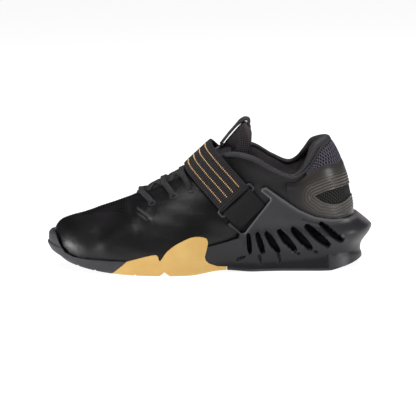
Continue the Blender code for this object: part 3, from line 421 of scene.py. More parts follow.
def sweep(name, path, normals, half_wide, half_thick, finish, closed=False, corner=1.0, turns=16):
    """A cord or band along a path: an oval section, squarer the smaller its corner power."""
    path, normals = np.asarray(path, float), np.asarray(normals, float)
    if closed:
        ahead = np.roll(path, -1, axis=0) - np.roll(path, 1, axis=0)
    else:
        ahead = np.gradient(path, axis=0)
    ahead = unit(ahead)
    wide = unit(np.cross(ahead, normals))
    up = np.cross(wide, ahead)
    a = np.linspace(0, 2 * math.pi, turns + 1)
    p = np.sign(np.cos(a)) * np.abs(np.cos(a)).round(9) ** corner
    q = np.sign(np.sin(a)) * np.abs(np.sin(a)).round(9) ** (corner if corner > 0.9 else 0.6)
    half_wide = np.broadcast_to(half_wide, len(path))
    half_thick = np.broadcast_to(half_thick, len(path))
    points = path[:, None] + wide[:, None] * (half_wide[:, None] * p)[..., None]
    points = points + up[:, None] * (half_thick[:, None] * q)[..., None]
    p = p * half_wide.mean()
    length = lengths(path)
    if closed:
        points = np.concatenate((points, points[:1]))
        length = np.append(length, 2 * length[-1] - length[-2])
    uv = np.stack(np.meshgrid(length, p, indexing="ij"), axis=2)
    return draped(name, points, finish, uv, capped=not closed)

# %% [markdown]
# Many small things. Stitches and eyelets are joined into one mesh each, because hundreds of
# objects would be slow to handle. A share kept on the points tells a finish where it changes.

# %% Small pieces and shares
def joined(name, pieces):
    """Several pieces as one object."""
    form = bmesh.new()
    for piece in pieces:
        form.from_mesh(piece.data)
    finish = pieces[0].data.materials[0]
    for piece in pieces:
        bpy.data.objects.remove(piece)
    return add_piece(name, form, finish)


def beads(name, spots, finish):
    """Small rounded stitches: a middle, and half lengths along, across and upwards."""
    form = bmesh.new()
    for middle, along, across, up in spots:
        turn = Matrix((along, across, up)).transposed().to_4x4()
        turn.translation = Vector(middle)
        bmesh.ops.create_uvsphere(form, u_segments=6, v_segments=4, radius=1.0, matrix=turn)
    bmesh.ops.recalc_face_normals(form, faces=form.faces)
    return add_piece(name, form, finish)


def mark(piece, name, value):
    """Keeps a share from 0 to 1 on each point, read from its place in the side view."""
    places = np.empty(len(piece.data.vertices) * 3)
    piece.data.vertices.foreach_get("co", places)
    x, _, z = places.reshape(-1, 3).T
    layer = piece.data.attributes.new(name, "FLOAT", "POINT")
    layer.data.foreach_set("value", np.clip(value(x, z), 0, 1).astype(np.float32))


def ride(piece, slot, *nodes):
    """Puts a finished piece on the shoe, in place of its solids. The slot is not used."""
    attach(piece, "root")
    if nodes:
        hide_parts(*nodes)
    print(piece.name, len(piece.data.polygons), "faces")
    return piece


# %% [markdown]
# Finishes. A finish is a shader whose numbers change over the surface. Wiring nodes by hand
# is slow to read, so one small class lets a sum of sockets be written as a sum.

# %% Sockets as numbers
class Socket:
    """A value in a finish. Sums written with it become nodes."""

    def __init__(self, tree, out=None):
        self.tree, self.out = tree, out

    def node(self, kind, settings, values, output=0):
        made = self.tree.nodes.new("ShaderNode" + kind)
        for key, value in settings.items():
            setattr(made, key, value)
        for key, value in values.items():
            if isinstance(value, Socket):
                self.tree.links.new(value.out, made.inputs[key])
            else:
                made.inputs[key].default_value = value
        return Socket(self.tree, made.outputs[output])

    def maths(self, operation, first, second=0.0):
        return self.node("Math", {"operation": operation}, {0: first, 1: second})

    def __add__(self, other):
        return self.maths("ADD", self, other)

    __radd__ = __add__

    def __sub__(self, other):
        return self.maths("SUBTRACT", self, other)

    def __rsub__(self, other):
        return self.maths("SUBTRACT", other, self)

    def __mul__(self, other):
        return self.maths("MULTIPLY", self, other)

    __rmul__ = __mul__

    def __abs__(self):
        return self.maths("ABSOLUTE", self)

    def wave(self, pitch):
        """A sine from -1 to 1 that repeats every pitch."""
        return self.maths("SINE", self * (2 * math.pi / pitch))

    def step(self, low, high):
        """Rises smoothly from 0 at low to 1 at high."""
        values = {"Value": self, "From Min": low, "From Max": high}
        return self.node("MapRange", {"interpolation_type": "SMOOTHSTEP"}, values)

    def blend(self, first, second):
        """The first colour where this is 0 and the second where it is 1."""
        return self.node("Mix", {"data_type": "RGBA"}, {0: self, 6: first, 7: second}, 2)

# %% [markdown]
# A finish knows its place on the shoe, for dust and grain that run over the whole piece, and
# its UV map, for weaves that follow the cloth. Fine height differences go through one bump.

# %% Colours and finishes
def srgb(red, green, blue):
    """A colour as read on a screen, turned into the shader's linear numbers."""
    part = [v / 255 for v in (red, green, blue)]
    return tuple(v / 12.92 if v < 0.04045 else ((v + 0.055) / 1.055) ** 2.4 for v in part) + (1.0,)


class Finish:
    """A material with its shader, its place on the shoe and its place in the UV map."""

    def __init__(self, name, colour, roughness, **fixed):
        self.material = bpy.data.materials.new(name)
        self.material.use_nodes = True
        self.material.diffuse_color = colour
        tree = self.material.node_tree
        self.shader = tree.nodes["Principled BSDF"]
        self.start = Socket(tree)
        self.shader.inputs["Base Color"].default_value = colour
        self.shader.inputs["Roughness"].default_value = roughness
        for key, value in fixed.items():
            self.shader.inputs[key.replace("_", " ")].default_value = value
        self.place = self.start.node("TexCoord", {}, {}, "Object")

    def axes(self, vector):
        return [self.start.node("SeparateXYZ", {}, {"Vector": vector}, axis) for axis in ("X", "Y", "Z")]

    def noise(self, scale, detail=3.0):
        return self.start.node("TexNoise", {}, {"Vector": self.place, "Scale": scale, "Detail": detail})

    def cells(self, scale, feature="F1"):
        return self.start.node("TexVoronoi", {"feature": feature}, {"Vector": self.place, "Scale": scale})

    def flat(self):
        """Metres along and across in the UV map."""
        return self.axes(self.start.node("UVMap", {}, {}, "UV"))[:2]

    def marked(self, name):
        """A share that is kept on the mesh's own points."""
        return self.start.node("Attribute", {"attribute_name": name}, {}, 2)

    def feed(self, **links):
        for key, value in links.items():
            self.start.tree.links.new(value.out, self.shader.inputs[key.replace("_", " ")])

    def shade(self, share):
        """Paints shade: turns a share of the surface to dull black, as the shade deep inside a hollow."""
        black = self.start.node("BsdfDiffuse", {}, {"Color": srgb(5, 5, 6), "Roughness": 1.0})
        lit = Socket(self.start.tree, self.shader.outputs[0])
        mixed = self.start.node("MixShader", {}, {0: share, 1: lit, 2: black})
        self.start.tree.links.new(mixed.out, self.start.tree.nodes["Material Output"].inputs["Surface"])

    def relief(self, height, depth, strength=1.0):
        """Raises the surface by up to that depth where height is 1."""
        values = {"Height": height, "Distance": depth, "Strength": strength}
        self.feed(Normal=self.start.node("Bump", {}, values, "Normal"))


print("finish tools ready")

# %% [markdown]
# Leather and lining. The upper is smooth black leather with a fine pebble, a little worn
# gloss and hardly any colour. The inside is a grey knitted lining. A photograph of leather
# would fix its light and its seams, so noise and cells make the grain instead.

# %% Leather and lining
def make_leather():
    finish = Finish("black_leather", srgb(20, 18, 20), 0.36, Specular_IOR_Level=0.36)
    pebble = finish.cells(1150, "DISTANCE_TO_EDGE").step(0.0, 0.16)
    wrinkle = finish.noise(260, 4.0)
    tone = finish.noise(28, 2.0)
    finish.feed(
        Base_Color=tone.step(0.35, 0.65).blend(srgb(14, 13, 15), srgb(20, 18, 20)),
        Roughness=0.24 + tone * 0.06 + wrinkle * 0.06,
    )
    finish.relief(pebble * 0.5 + wrinkle, 0.00009, 0.6)
    return finish.material


def make_lining():
    finish = Finish("collar_lining", srgb(66, 63, 67), 0.85, Sheen_Weight=0.35)
    x, y, z = finish.axes(finish.place)
    ribs = (x * 0.8 + z).wave(0.0011) * y.wave(0.0012)
    finish.feed(Base_Color=finish.noise(60).step(0.3, 0.7).blend(srgb(92, 86, 90), srgb(112, 106, 110)))
    finish.relief(ribs * 0.5 + finish.noise(900), 0.00018)
    return finish.material


LEATHER, LINING = make_leather(), make_lining()
print(LEATHER.name, LINING.name)

# %% [markdown]
# The upper. The real one is one piece of leather pulled over a last. Its creases are given as soft ridges and
# troughs in the shoe's own sizes, as lines in the side view: from x and z, to x and z, a reach and a rise. The
# wall comes from Solidify, thicker where the collar is padded, so the lining is a true inner face.

# %% Creases and wall
OUTER_FOLDS = (
    (-0.2020, 0.0270, -0.1640, 0.0530, 0.0085, 0.0010),
    (-0.2060, 0.0400, -0.1880, 0.0540, 0.0080, -0.0007),
    (-0.1727, 0.0586, -0.1619, 0.0521, 0.0019, 0.0011),
    (-0.1690, 0.0500, -0.1590, 0.0580, 0.0040, -0.0006),
    (-0.1450, 0.0350, -0.1180, 0.0620, 0.0120, -0.0004),
    (-0.0300, 0.0860, 0.0000, 0.0830, 0.0050, -0.0006),
)
INNER_FOLDS = (
    (-0.1980, 0.0250, -0.1700, 0.0440, 0.0080, 0.0008),
    (-0.2040, 0.0380, -0.1880, 0.0500, 0.0070, -0.0007),
    (-0.1500, 0.0300, -0.1200, 0.0600, 0.0120, -0.0008),
    (-0.0900, 0.0400, -0.0600, 0.0700, 0.0120, -0.0007),
)


def fold_relief(points, place):
    x, z = points[:, 0], points[:, 2]
    turned = (place % RING) / RING
    total = np.zeros(len(points))
    for folds, inner in ((OUTER_FOLDS, 0), (INNER_FOLDS, 1)):
        own_side = (turned < 0.5) != bool(inner)
        for ax, az, bx, bz, reach, rise in folds:
            total += own_side * rise * beside(((ax, az), (bx, bz)), x, z, reach)
    soft = np.sin(x * 210 + z * 160) * np.sin(z * 260 - x * 90 + 1.0) * 0.00012
    return total + soft


def wall_at(x, z):
    """The upper's wall: thin leather, padded round the collar and most at the heel."""
    collar = smoothstep(0.075, 0.098, z) * smoothstep(-0.095, -0.075, x)
    heel = smoothstep(0.096, 0.114, z) * smoothstep(-0.030, -0.008, x)
    return WALL + (COLLAR_PAD - WALL) * collar + (HEEL_PAD - COLLAR_PAD) * heel


def heel_share(place):
    return smoothstep(12.0, 14.4, place % RING) * (1 - smoothstep(15.6, 18.0, place % RING))


def rim_height(place):
    """Where the leather ends under the collar's roll: a little lower at the heel's peak."""
    return 1 - 0.125 * np.exp(-(((place % RING - HEEL_ROW) / 1.25) ** 2))

# %% [markdown]
# The skin and its wall. Fourteen columns a rib are enough for soft creases. Each point carries
# a weight for how thick the wall is there; Solidify reads it and gives the lining its own
# finish. Two separate skins would have to be closed by hand along the collar.

# %% Skin and wall of the upper
def make_upper(columns=14, rows=60):
    count = RING * columns
    place, height = np.meshgrid(np.arange(count + 1) / columns, np.arange(rows + 1) / rows, indexing="ij")
    place, height = place.ravel(), (height * rim_height(place)).ravel()
    points = rib_point(place, height)
    quiet = smoothstep(0.0, 0.12, height) * (1 - smoothstep(0.86, 1.0, height))
    points = over(place, height, fold_relief(points, place) * quiet)
    upper = draped("upper_leather", points.reshape(count + 1, rows + 1, 3), (LEATHER, LINING))
    pad = upper.vertex_groups.new(name="pad")
    for vertex in upper.data.vertices:
        share = (wall_at(vertex.co.x, vertex.co.z) - WALL) / (HEEL_PAD - WALL)
        pad.add([vertex.index], float(share), "REPLACE")
    wall = upper.modifiers.new("wall", "SOLIDIFY")
    wall.thickness, wall.offset = HEEL_PAD, -1
    wall.vertex_group, wall.thickness_vertex_group = "pad", WALL / HEEL_PAD
    wall.material_offset = wall.material_offset_rim = 1
    return settled(upper)


upper = ride(make_upper(), "upper_leather", "upper")

# %% [markdown]
# Measuring on the skin. Details such as pinholes are known by where they show in the side or
# top view. A ray from outside finds the spot and the way the surface faces there.

# %% Finding spots on the skin
def tree_of(piece):
    form = bmesh.new()
    form.from_mesh(piece.data)
    tree = BVHTree.FromBMesh(form)
    form.free()
    return tree


def spot(tree, start, way):
    hit, normal, _, _ = tree.ray_cast(Vector(start), Vector(way))
    return (np.array(hit), np.array(normal)) if hit else (None, None)


UPPER_TREE = tree_of(upper)
print("back of the heel at 6 cm:", spot(UPPER_TREE, (0.2, 0.0, 0.06), (-1, 0, 0))[0].round(4))

# %% [markdown]
# Moulded plastic and rubber. The cage is satin plastic with the fine grain of a spark-worn
# mould, the gold wrap is soft gum rubber, and the toe and tread are black rubber that dust
# and floor contact have dulled.

# %% Plastic and rubber
def make_moulded(name, dark, light, roughness, grain, depth):
    finish = Finish(name, dark, roughness, Specular_IOR_Level=0.3)
    dust = finish.noise(35, 4.0)
    fine = finish.noise(grain, 2.0)
    finish.feed(
        Base_Color=dust.step(0.35, 0.7).blend(dark, light),
        Roughness=roughness - 0.06 + dust * 0.08 + fine * 0.06,
    )
    finish.relief(fine, depth, 0.6)
    return finish.material


def make_cage():
    finish = Finish("cage_plastic", srgb(50, 48, 52), 0.36, Specular_IOR_Level=0.35)
    dust = finish.noise(35, 4.0)
    low_down = finish.axes(finish.place)[2].step(0.036, 0.010)
    plain = low_down.blend(dust.step(0.35, 0.7).blend(srgb(36, 34, 37), srgb(46, 44, 47)), srgb(24, 22, 25))
    # Painted highlight: the colour is lightened along the notch and the lip of the wing, where they catch the
    # light.
    highlighted = finish.marked("lip_highlight").blend(plain, srgb(98, 96, 100))
    # Painted highlight: the flat facet at the heel's corner is lightened, as it catches the light.
    highlighted = finish.marked("corner").blend(highlighted, srgb(50, 49, 52))
    # Painted shade: deep in the hollows the colour turns near black and the shader is mixed with dull black.
    deep_shade = finish.marked("hollow")
    finish.feed(Base_Color=deep_shade.blend(highlighted, srgb(7, 7, 8)), Roughness=0.36 + dust * 0.1)
    finish.shade(deep_shade * 0.88)
    finish.relief(finish.noise(1500, 2.0), 0.0001, 0.6)
    return finish.material


CAGE = make_cage()
GOLD = make_moulded("gold_rubber", srgb(207, 166, 96), srgb(216, 178, 108), 0.55, 1300, 0.00012)
RUBBER = make_moulded("black_rubber", srgb(50, 50, 53), srgb(64, 64, 67), 0.58, 1100, 0.00014)
print(CAGE.name, GOLD.name, RUBBER.name)

# %% [markdown]
# The sole's cup. Toe rubber, gold wrap, cage and tread are parts of one deep cup round the
# upper, parted along outlines that show in the side view. A closed cup is drawn section by
# section, then carved by each outline, so the parts meet with the same narrow gaps.

# %% Cup and its grooves
WALL_LEFT = 0.0007


def as_grid(places, heights, offset):
    place, height = np.meshgrid(places, heights, indexing="ij")
    offset = np.broadcast_to(np.asarray(offset)[:, None] if np.ndim(offset) else offset, place.shape)
    return over(place.ravel(), height.ravel(), offset.ravel()).reshape(*place.shape, 3)


def lifted(grid, relief, out):
    """A grid pushed along its own normals by a relief, but never down into the leather."""
    along, up = np.gradient(grid, axis=0), np.gradient(grid, axis=1)
    normal = np.cross(along, up)
    normal /= np.maximum(np.linalg.norm(normal, axis=2, keepdims=True), 1e-9)
    normal *= np.sign((normal * out[:, None]).sum(axis=2).mean())
    rise = relief(grid[..., 0], grid[..., 2])
    for i, j in np.argwhere(rise < -0.0004):
        _, _, _, room = UPPER_TREE.ray_cast(Vector(grid[i, j]), Vector(-normal[i, j]))
        if room is not None:
            rise[i, j] = max(rise[i, j], WALL_LEFT - room)
    return grid + normal * rise[..., None]


def cup(name, finish, first, last, columns, fine, relief=None):
    """The sole's cup between two ribs: outer face, rim, inner face and the seat across."""
    places = np.linspace(first, last, round((last - first) * columns) + 1)
    halves = []
    for way in (1, -1):
        at = places * way
        side, out = on_ring(SIDES, at), outward(SIDES, at)
        tread = np.stack((side[:, 0], side[:, 1], floor_lift(side[:, 0])), axis=1)
        knots = [tread - out * TREAD_EDGE, tread + UP * TREAD_EDGE]
        knots += [tread + out * side[:, k : k + 1] + UP * side[:, k + 1 : k + 2] for k in (2, 4)]
        knots += [over(at, h, side[:, 6]) for h in WALL_LEVELS]
        outer = through(knots, fine).transpose(1, 0, 2)
        if relief:
            outer = lifted(outer, relief, out)
        inner = as_grid(at, np.array((0.8, 0.68, 0.56, 0.44, 0.32, 0.2, 0.1)), GAP)
        foot = rib_point(at, 0.0) + outward(RIBS, at) * GAP - UP * GAP
        halves.append(np.concatenate((outer, inner, foot[:, None]), axis=1))
    ring = np.concatenate((halves[0], halves[1][:, ::-1], halves[0][:, :1]), axis=1)
    return draped(name, ring, finish, capped=True, flat_faces=True)


def moved(outline, dx, dz):
    return [(x + dx, z + dz) for x, z in outline]


def groove(piece, x, width, depth):
    low, peak = float(floor_lift(x)) - 0.004, float(floor_lift(x)) + depth
    spread = width / 2 * (depth + 0.004) / depth
    return carve(piece, [(x - spread, low), (x, peak), (x + spread, low)], "DIFFERENCE")

# %% [markdown]
# The toe rubber. A bumper wraps the toe and runs back into the front tread, with two narrow
# grooves. It could be modelled as its own form, but a part of the cup meets its neighbours
# exactly. Its front bulges a little under the rounded top.

# %% Toe rubber
BELOW, BEHIND, AHEAD = -0.01, 0.06, -0.28
toe_front = moved(TOE_SEAM, -GAP / 2, 0)


def toe_relief(x, z):
    """The bumper's front bulges under its rounded top."""
    bulge = smoothstep(0.016, 0.028, z) * (1 - smoothstep(0.0330, 0.0375, z))
    return 0.0017 * bulge * (1 - smoothstep(-0.252, -0.243, x))


toe = cup("toe_bumper", RUBBER, 0.0, 4.7, 10, 8, toe_relief)
outline = [(AHEAD, BELOW), (toe_front[0][0] - 0.01, BELOW), *toe_front, *TOE_RAND[1:], (AHEAD, TOE_RAND[-1][1])]
carve(toe, outline, "INTERSECT")
for numbers in TOE_GROOVES:
    groove(toe, *numbers)
ride(toe, "black_rubber", "toe_rubber")

# %% [markdown]
# The gold wrap. Soft rubber covers the forefoot and climbs the sides in two lobes with a deep
# notch between them. Its top is a smooth curve through a few places read along the shoe.

# %% Gold wrap
wrap_front = moved(TOE_SEAM, GAP / 2, 0)
wrap_back = moved(ARCH_SEAM, -GAP / 2, -GAP / 2)
gold = cup("forefoot_wrap", GOLD, 2.8, 9.8, 10, 5)
outline = [(wrap_front[0][0] - 0.01, BELOW), *wrap_front, *through(FOREFOOT_TOP, 4)[1:], *wrap_back]
carve(gold, [*outline, (wrap_back[-1][0], BELOW)], "INTERSECT")
for numbers in FOREFOOT_GROOVES:
    groove(gold, *numbers)
ride(gold, "gold_rubber", "forefoot_rubber")

# %% [markdown]
# The heel tread. A thin slab lies under the wedge. The real heel rises behind in one slope,
# so the same bevel is cut from the tread here and from the cage later.

# %% Heel tread
tread = cup("heel_tread", RUBBER, 8.0, 15.0, 10, 4)
slab = [(HEEL_TREAD_FRONT, BELOW), (HEEL_TREAD_FRONT, HEEL_TREAD), (BEHIND, HEEL_TREAD), (BEHIND, BELOW)]
carve(tread, slab, "INTERSECT")
HEEL_BEVEL = ((0.0070, BELOW), (0.0070, 0.0), (0.0450, 0.0090), (BEHIND, 0.0090), (BEHIND, BELOW))
carve(tread, HEEL_BEVEL, "DIFFERENCE")
ride(tread, "black_rubber", "heel_rubber")

# %% [markdown]
# The heel cage. On the real shoe a stiff plastic cage carries the lifter's weight: slanted
# ribs with hollows between them, a raised lip round the wing, and a flat corner at the back.
# Cutting each hollow with a Boolean leaves hard steps, so the hollows, ribs and lips are
# written as one relief in the side view and pushed into a dense cup.

# %% Relief of the cage
LIP = CAGE_TOP[11:]
NOTCH = CAGE_TOP[7:13]
CAGE_RIDGES = (
    ((-0.0180, 0.0486), (-0.0010, 0.0432), (0.0110, 0.0375), (0.0217, 0.0290)),
    ((-0.0775, 0.0330), (-0.0740, 0.0250), (-0.0745, 0.0160)),
)
SLOTS = (
    (-0.0590, 0.0160, -0.0580, 0.0095, 0.0030), (-0.0415, 0.0166, -0.0395, 0.0090, 0.0030),
    (-0.0800, 0.0125, -0.0720, 0.0155, 0.0024), (-0.0265, 0.0182, -0.0205, 0.0160, 0.0022),
    (-0.0100, 0.0192, -0.0035, 0.0172, 0.0022),
)
LEDGE = ((0.0045, 0.0150), (0.0400, 0.0125))
HOLLOWS = [(*row[:4], row[4] * 1.06) for row in GILLS]
SLOT_DEPTH = 0.0014


def ledge_height(x):
    (ax, az), (bx, bz) = LEDGE
    return az + (x - ax) / (bx - ax) * (bz - az)


def hollow(x, z, top_x, top_z, low_x, low_z, width, depth):
    dx, dz = low_x - top_x, low_z - top_z
    t = np.clip(((x - top_x) * dx + (z - top_z) * dz) / (dx * dx + dz * dz), 0, 1)
    away = np.hypot(x - top_x - dx * t, z - top_z - dz * t)
    half = width / 2 * (0.62 + 0.38 * np.sin(math.pi * np.clip(0.05 + 0.9 * t, 0, 1)))
    sunk = depth * smoothstep(-0.0004, 0.0012, half - away)
    rim = 0.0004 * np.exp(-(((away - half - 0.0010) / 0.0008) ** 2))
    return rim - sunk


def cage_relief(x, z):
    total = 0.0013 * beside(LIP, x, z, 0.0024) + 0.0007 * beside(NOTCH, x, z, 0.0012)
    total += sum(0.0009 * beside(ridge, x, z, 0.0013) for ridge in CAGE_RIDGES)
    total += sum(hollow(x, z, *row, GILL_DEPTH) for row in HOLLOWS)
    total += sum(hollow(x, z, *row, SLOT_DEPTH) for row in SLOTS)
    return total + 0.0009 * smoothstep(0.0, 0.0012, ledge_height(x) - z) * smoothstep(0.0035, 0.0055, x)


print("relief inside the first hollow:", cage_relief(np.array([-0.0685]), np.array([0.028])).round(4))

# %% [markdown]
# The cage is then cut from the cup like the rubbers. What is hollow, lip or corner is kept as a share on its
# points, so the finish paints shade deep in the hollows and paints highlights on the lip and the corner facet,
# exactly where the form changes.

# %% Cage from the cup
cage = cup("heel_cage", CAGE, 7.4, 15.0, 22, 9, cage_relief)
cage_front = moved(ARCH_SEAM, GAP / 2, GAP / 2)
base = HEEL_TREAD + GAP
carve(cage, [*reversed(cage_front), *CAGE_TOP, (BEHIND, base), (HEEL_TREAD_FRONT, base)], "INTERSECT")
carve(cage, HEEL_BEVEL, "DIFFERENCE")


# The share of painted shade: full deep in the rib hollows, less in the shallow slots.
def shade_in_hollows(x, z):
    deep_shade = [-hollow(x, z, *row, 1.0) for row in HOLLOWS]
    shallow = [-0.45 * hollow(x, z, *row, 1.0) for row in SLOTS]
    return np.max(deep_shade + shallow, axis=0)


# The hollows' share places the cage's painted shade.
mark(cage, "hollow", shade_in_hollows)
# Share of the painted highlight along the notch and the lip.
mark(cage, "lip_highlight", lambda x, z: 0.9 * beside(NOTCH[2:], x, z, 0.0011) + 0.7 * beside(LIP, x, z, 0.0015))
# Share of the painted highlight on the corner facet below the ledge.
mark(cage, "corner", lambda x, z: smoothstep(0.0, 0.0008, ledge_height(x) - z) * smoothstep(0.0052, 0.0062, x))
ride(cage, "heel_cage", "midsole")

# %% [markdown]
# Mesh, film and band cloth. A knitted mesh is a lattice of dark holes between lighter threads, and two crossed
# waves in the piece's own UV map draw it at its real size. The film is smooth and a little worn, has a painted
# highlight on the ridges pressed in it, and fades into the leather in front.

# %% Fabric finishes
def make_mesh(name, thread, gap, pitch):
    finish = Finish(name, thread, 0.8, Specular_IOR_Level=0.2)
    u, v = finish.flat()
    lattice = abs((u + v * 0.6).wave(pitch * 2)) * abs((u - v * 0.6).wave(pitch * 2))
    hole = lattice.step(0.30, 0.55)
    finish.feed(Base_Color=hole.blend(thread, gap), Roughness=0.62 + hole * 0.3)
    finish.relief(1 - hole + finish.noise(1800) * 0.2, 0.0006)
    return finish.material


def make_film():
    finish = Finish("heel_film", srgb(62, 58, 56), 0.40, Specular_IOR_Level=0.4)
    tone = finish.noise(30, 3.0)
    x = finish.axes(finish.place)[0]
    worn = tone.blend(srgb(42, 39, 37), srgb(54, 50, 47))
    # Painted highlight: the film's colour is lightened on the ridges of the rings round the window.
    ring_highlighted = (finish.marked("ring") * 0.9).blend(worn, srgb(84, 79, 75))
    finish.feed(Base_Color=x.step(-0.034, -0.004).blend(srgb(20, 18, 20), ring_highlighted), Roughness=0.34 + tone * 0.10)
    finish.relief(finish.noise(1300), 0.00008, 0.5)
    return finish.material


def make_band_cloth():
    finish = Finish("collar_cloth", srgb(44, 42, 45), 0.62, Specular_IOR_Level=0.3)
    u, v = finish.flat()
    tone = finish.noise(80).blend(srgb(34, 32, 35), srgb(46, 44, 47))
    finish.feed(Base_Color=tone, Roughness=0.58 + finish.noise(120) * 0.12)
    finish.relief(u.wave(0.0009) * v.wave(0.0009) * 0.5 + finish.noise(1400) * 0.5, 0.00012)
    return finish.material


COLLAR_MESH = make_mesh("collar_mesh", srgb(78, 75, 87), srgb(12, 11, 15), 0.0033)
WINDOW_MESH = make_mesh("window_mesh", srgb(40, 39, 37), srgb(4, 4, 4), 0.0028)
FILM, BAND_CLOTH = make_film(), make_band_cloth()
print(COLLAR_MESH.name, WINDOW_MESH.name, FILM.name, BAND_CLOTH.name)

# %% [markdown]
# Film, window, mesh panel and collar. A thin film is pressed round the heel with a lens-shaped
# window, through which mesh shows; above it lies a bluish mesh panel, and a padded band with a
# soft roll closes the collar. They could be cut from cloth and pinned, but a plate laid over
# the ribs at its own small height follows the heel exactly. The roll is one swept tube.

# %% Plates and the film's rings
FILM_THICK = 0.0009
FILM_FROM, FILM_TO = 11.6, 18.4
FILM_LOW, FILM_SIDE_HIGH, FILM_BACK_HIGH = 0.12, 0.895, 0.62
WINDOW = (
    (-0.0066, 0.0706), (0.0047, 0.0745), (0.0150, 0.0762), (0.0268, 0.0770), (0.0360, 0.0774),
    (0.0360, 0.0660), (0.0284, 0.0658), (0.0200, 0.0622), (0.0123, 0.0614), (0.0013, 0.0644),
)


def film_top(place):
    return FILM_BACK_HIGH + (FILM_SIDE_HIGH - FILM_BACK_HIGH) * smoothstep(0.4, 2.3, abs(place - HEEL_ROW))


def plate(name, finish, first, last, low, high, inner, thick, columns, rows, relief=None):
    """A thin closed piece on the upper between two heights that change along the ribs."""
    places = np.linspace(first, last, round((last - first) * columns) + 1)
    share = np.linspace(0.0, 1.0, rows + 1)
    heights = low(places)[:, None] + (high(places) - low(places))[:, None] * share
    place = np.broadcast_to(places[:, None], heights.shape)
    raised = thick * np.minimum(1.0, 0.35 + 8 * np.minimum(share, 1 - share))[None, :] * np.ones_like(heights)
    under = over(place.ravel(), heights.ravel(), inner).reshape(*heights.shape, 3)
    if relief:
        raised = raised + relief(under, place, share[None, :] * np.ones_like(heights))
    outer = over(place.ravel(), heights.ravel(), (inner + raised).ravel()).reshape(under.shape)
    ring = np.concatenate((outer, under[:, ::-1], outer[:, :1]), axis=1)
    return draped(name, ring, finish, capped=True, flat_faces=True)


def level(value):
    return lambda places: np.full(len(places), value)


def ring_share(x, z):
    away = near_line((*WINDOW, WINDOW[0]), x, z)
    rings = (0.5 + 0.5 * np.cos((away - 0.0008) / 0.0026 * 2 * math.pi)) ** 1.5
    return rings * (1 - smoothstep(0.008, 0.016, away))


def film_relief(points, place, share):
    """Ridges pressed in rings round the window."""
    ends = smoothstep(0.0, 0.8, place - FILM_FROM) * smoothstep(0.0, 0.8, FILM_TO - place)
    inside = np.minimum(1.0, 8 * np.minimum(share, 1 - share))
    return inside * (0.0006 * ring_share(points[..., 0], points[..., 2]) - FILM_THICK * 0.55 * (1 - ends))

# %% [markdown]
# The film and its window. The lens is cut out of the film, and a plate of open mesh just under
# it fills the hole, because a painted lens would have no edge to catch the light.

# %% Film and window
film_size = (FILM_FROM, FILM_TO, level(FILM_LOW), film_top, GAP, FILM_THICK)
film = plate("heel_shield", FILM, *film_size, 22, 70, film_relief)
under_cage = [(CAGE_TOP[0][0], 0.0), *moved(CAGE_TOP, 0.0, 2 * GAP), (BEHIND, 0.0)]
carve(film, under_cage, "DIFFERENCE")
carve(film, through((*WINDOW, WINDOW[0]), 4)[:-1], "DIFFERENCE")
# The rings' share also places the film's painted highlight on their ridges.
mark(film, "ring", ring_share)
ride(film, "heel_film", "heel_film")

window = plate("window_mesh", WINDOW_MESH, 12.0, 18.0, level(0.25), level(0.68), 0.0001, 0.0004, 14, 30)
carve(window, [(-0.012, 0.070), (0.004, 0.079), (0.038, 0.081), (0.038, 0.062), (0.012, 0.057)], "INTERSECT")
ride(window, "heel_film")

# %% [markdown]
# The top of the heel. The panel and the band end just below the rim, and the roll covers both
# ends. Over the heel the leather turns inwards, so the roll is wider there and stands up in
# two soft shoulders beside the middle.

# %% Mesh panel, band and roll
def under_rim(share):
    """A height that follows the collar's rim at a share of it."""
    return lambda places: rim_height(places) * share


def above_film(places):
    return film_top(places) - 0.012


panel = plate("collar_mesh", COLLAR_MESH, 12.7, 17.3, above_film, under_rim(0.955), 0.0001, 0.0006, 20, 16)
ride(panel, "collar_band")


def band_crown(points, place, share):
    return 0.0012 * (1 - 0.9 * heel_share(place)) * np.sin(math.pi * share) ** 0.7


band_size = (9.0, 21.0, under_rim(0.95), under_rim(0.995), GAP, 0.0008)
band = plate("collar_roll", BAND_CLOTH, *band_size, 14, 12, band_crown)
ride(band, "collar_band", "collar_band")


def make_collar_rim():
    """The soft roll that closes the padded collar from its outer to its inner face."""
    places = np.linspace(8.8, 21.2, 170)
    high = rim_height(places)
    top, normal = rib_point(places, high), rib_normal(places, high)
    upwards = unit(top - rib_point(places, high - 0.07))
    wall = np.array([wall_at(x, z) for x, _, z in top])
    heel = heel_share(places)
    shoulder = 0.0050 * np.exp(-(((abs(places - HEEL_ROW) - 1.6) / 0.9) ** 2))
    middle = top - normal * (wall * (0.5 + 0.16 * heel))[:, None]
    middle += upwards * (0.0014 * heel - 0.0012 + shoulder)[:, None]
    half_wide, half_thick = wall / 2 + 0.0005 + 0.0026 * heel, 0.0024 + 0.0032 * heel
    return sweep("collar_rim", middle, upwards, half_wide, half_thick, BAND_CLOTH, corner=1.0, turns=24)


ride(make_collar_rim(), "collar_band")

# %% [markdown]
# The tongue and the footbed. The tongue is padded mesh with a smooth edge and a webbing loop at its tip. Its
# solid already has the true form in flat facets, so a merged copy is turned back to quads and rounded by
# subdivision; the footbed is made the same way.

# %% Rounded copies, tongue mesh and tape
def rounded_copy(node, name, finish, levels):
    form = bmesh.new()
    form.from_mesh(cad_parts[node].data)
    bmesh.ops.remove_doubles(form, verts=form.verts, dist=1e-5)
    bmesh.ops.join_triangles(
        form, faces=form.faces, angle_face_threshold=math.radians(35), angle_shape_threshold=math.radians(60)
    )
    piece = add_piece(name, form, finish)
    soft = piece.modifiers.new("soft", "SUBSURF")
    soft.levels = soft.render_levels = levels
    return settled(piece)


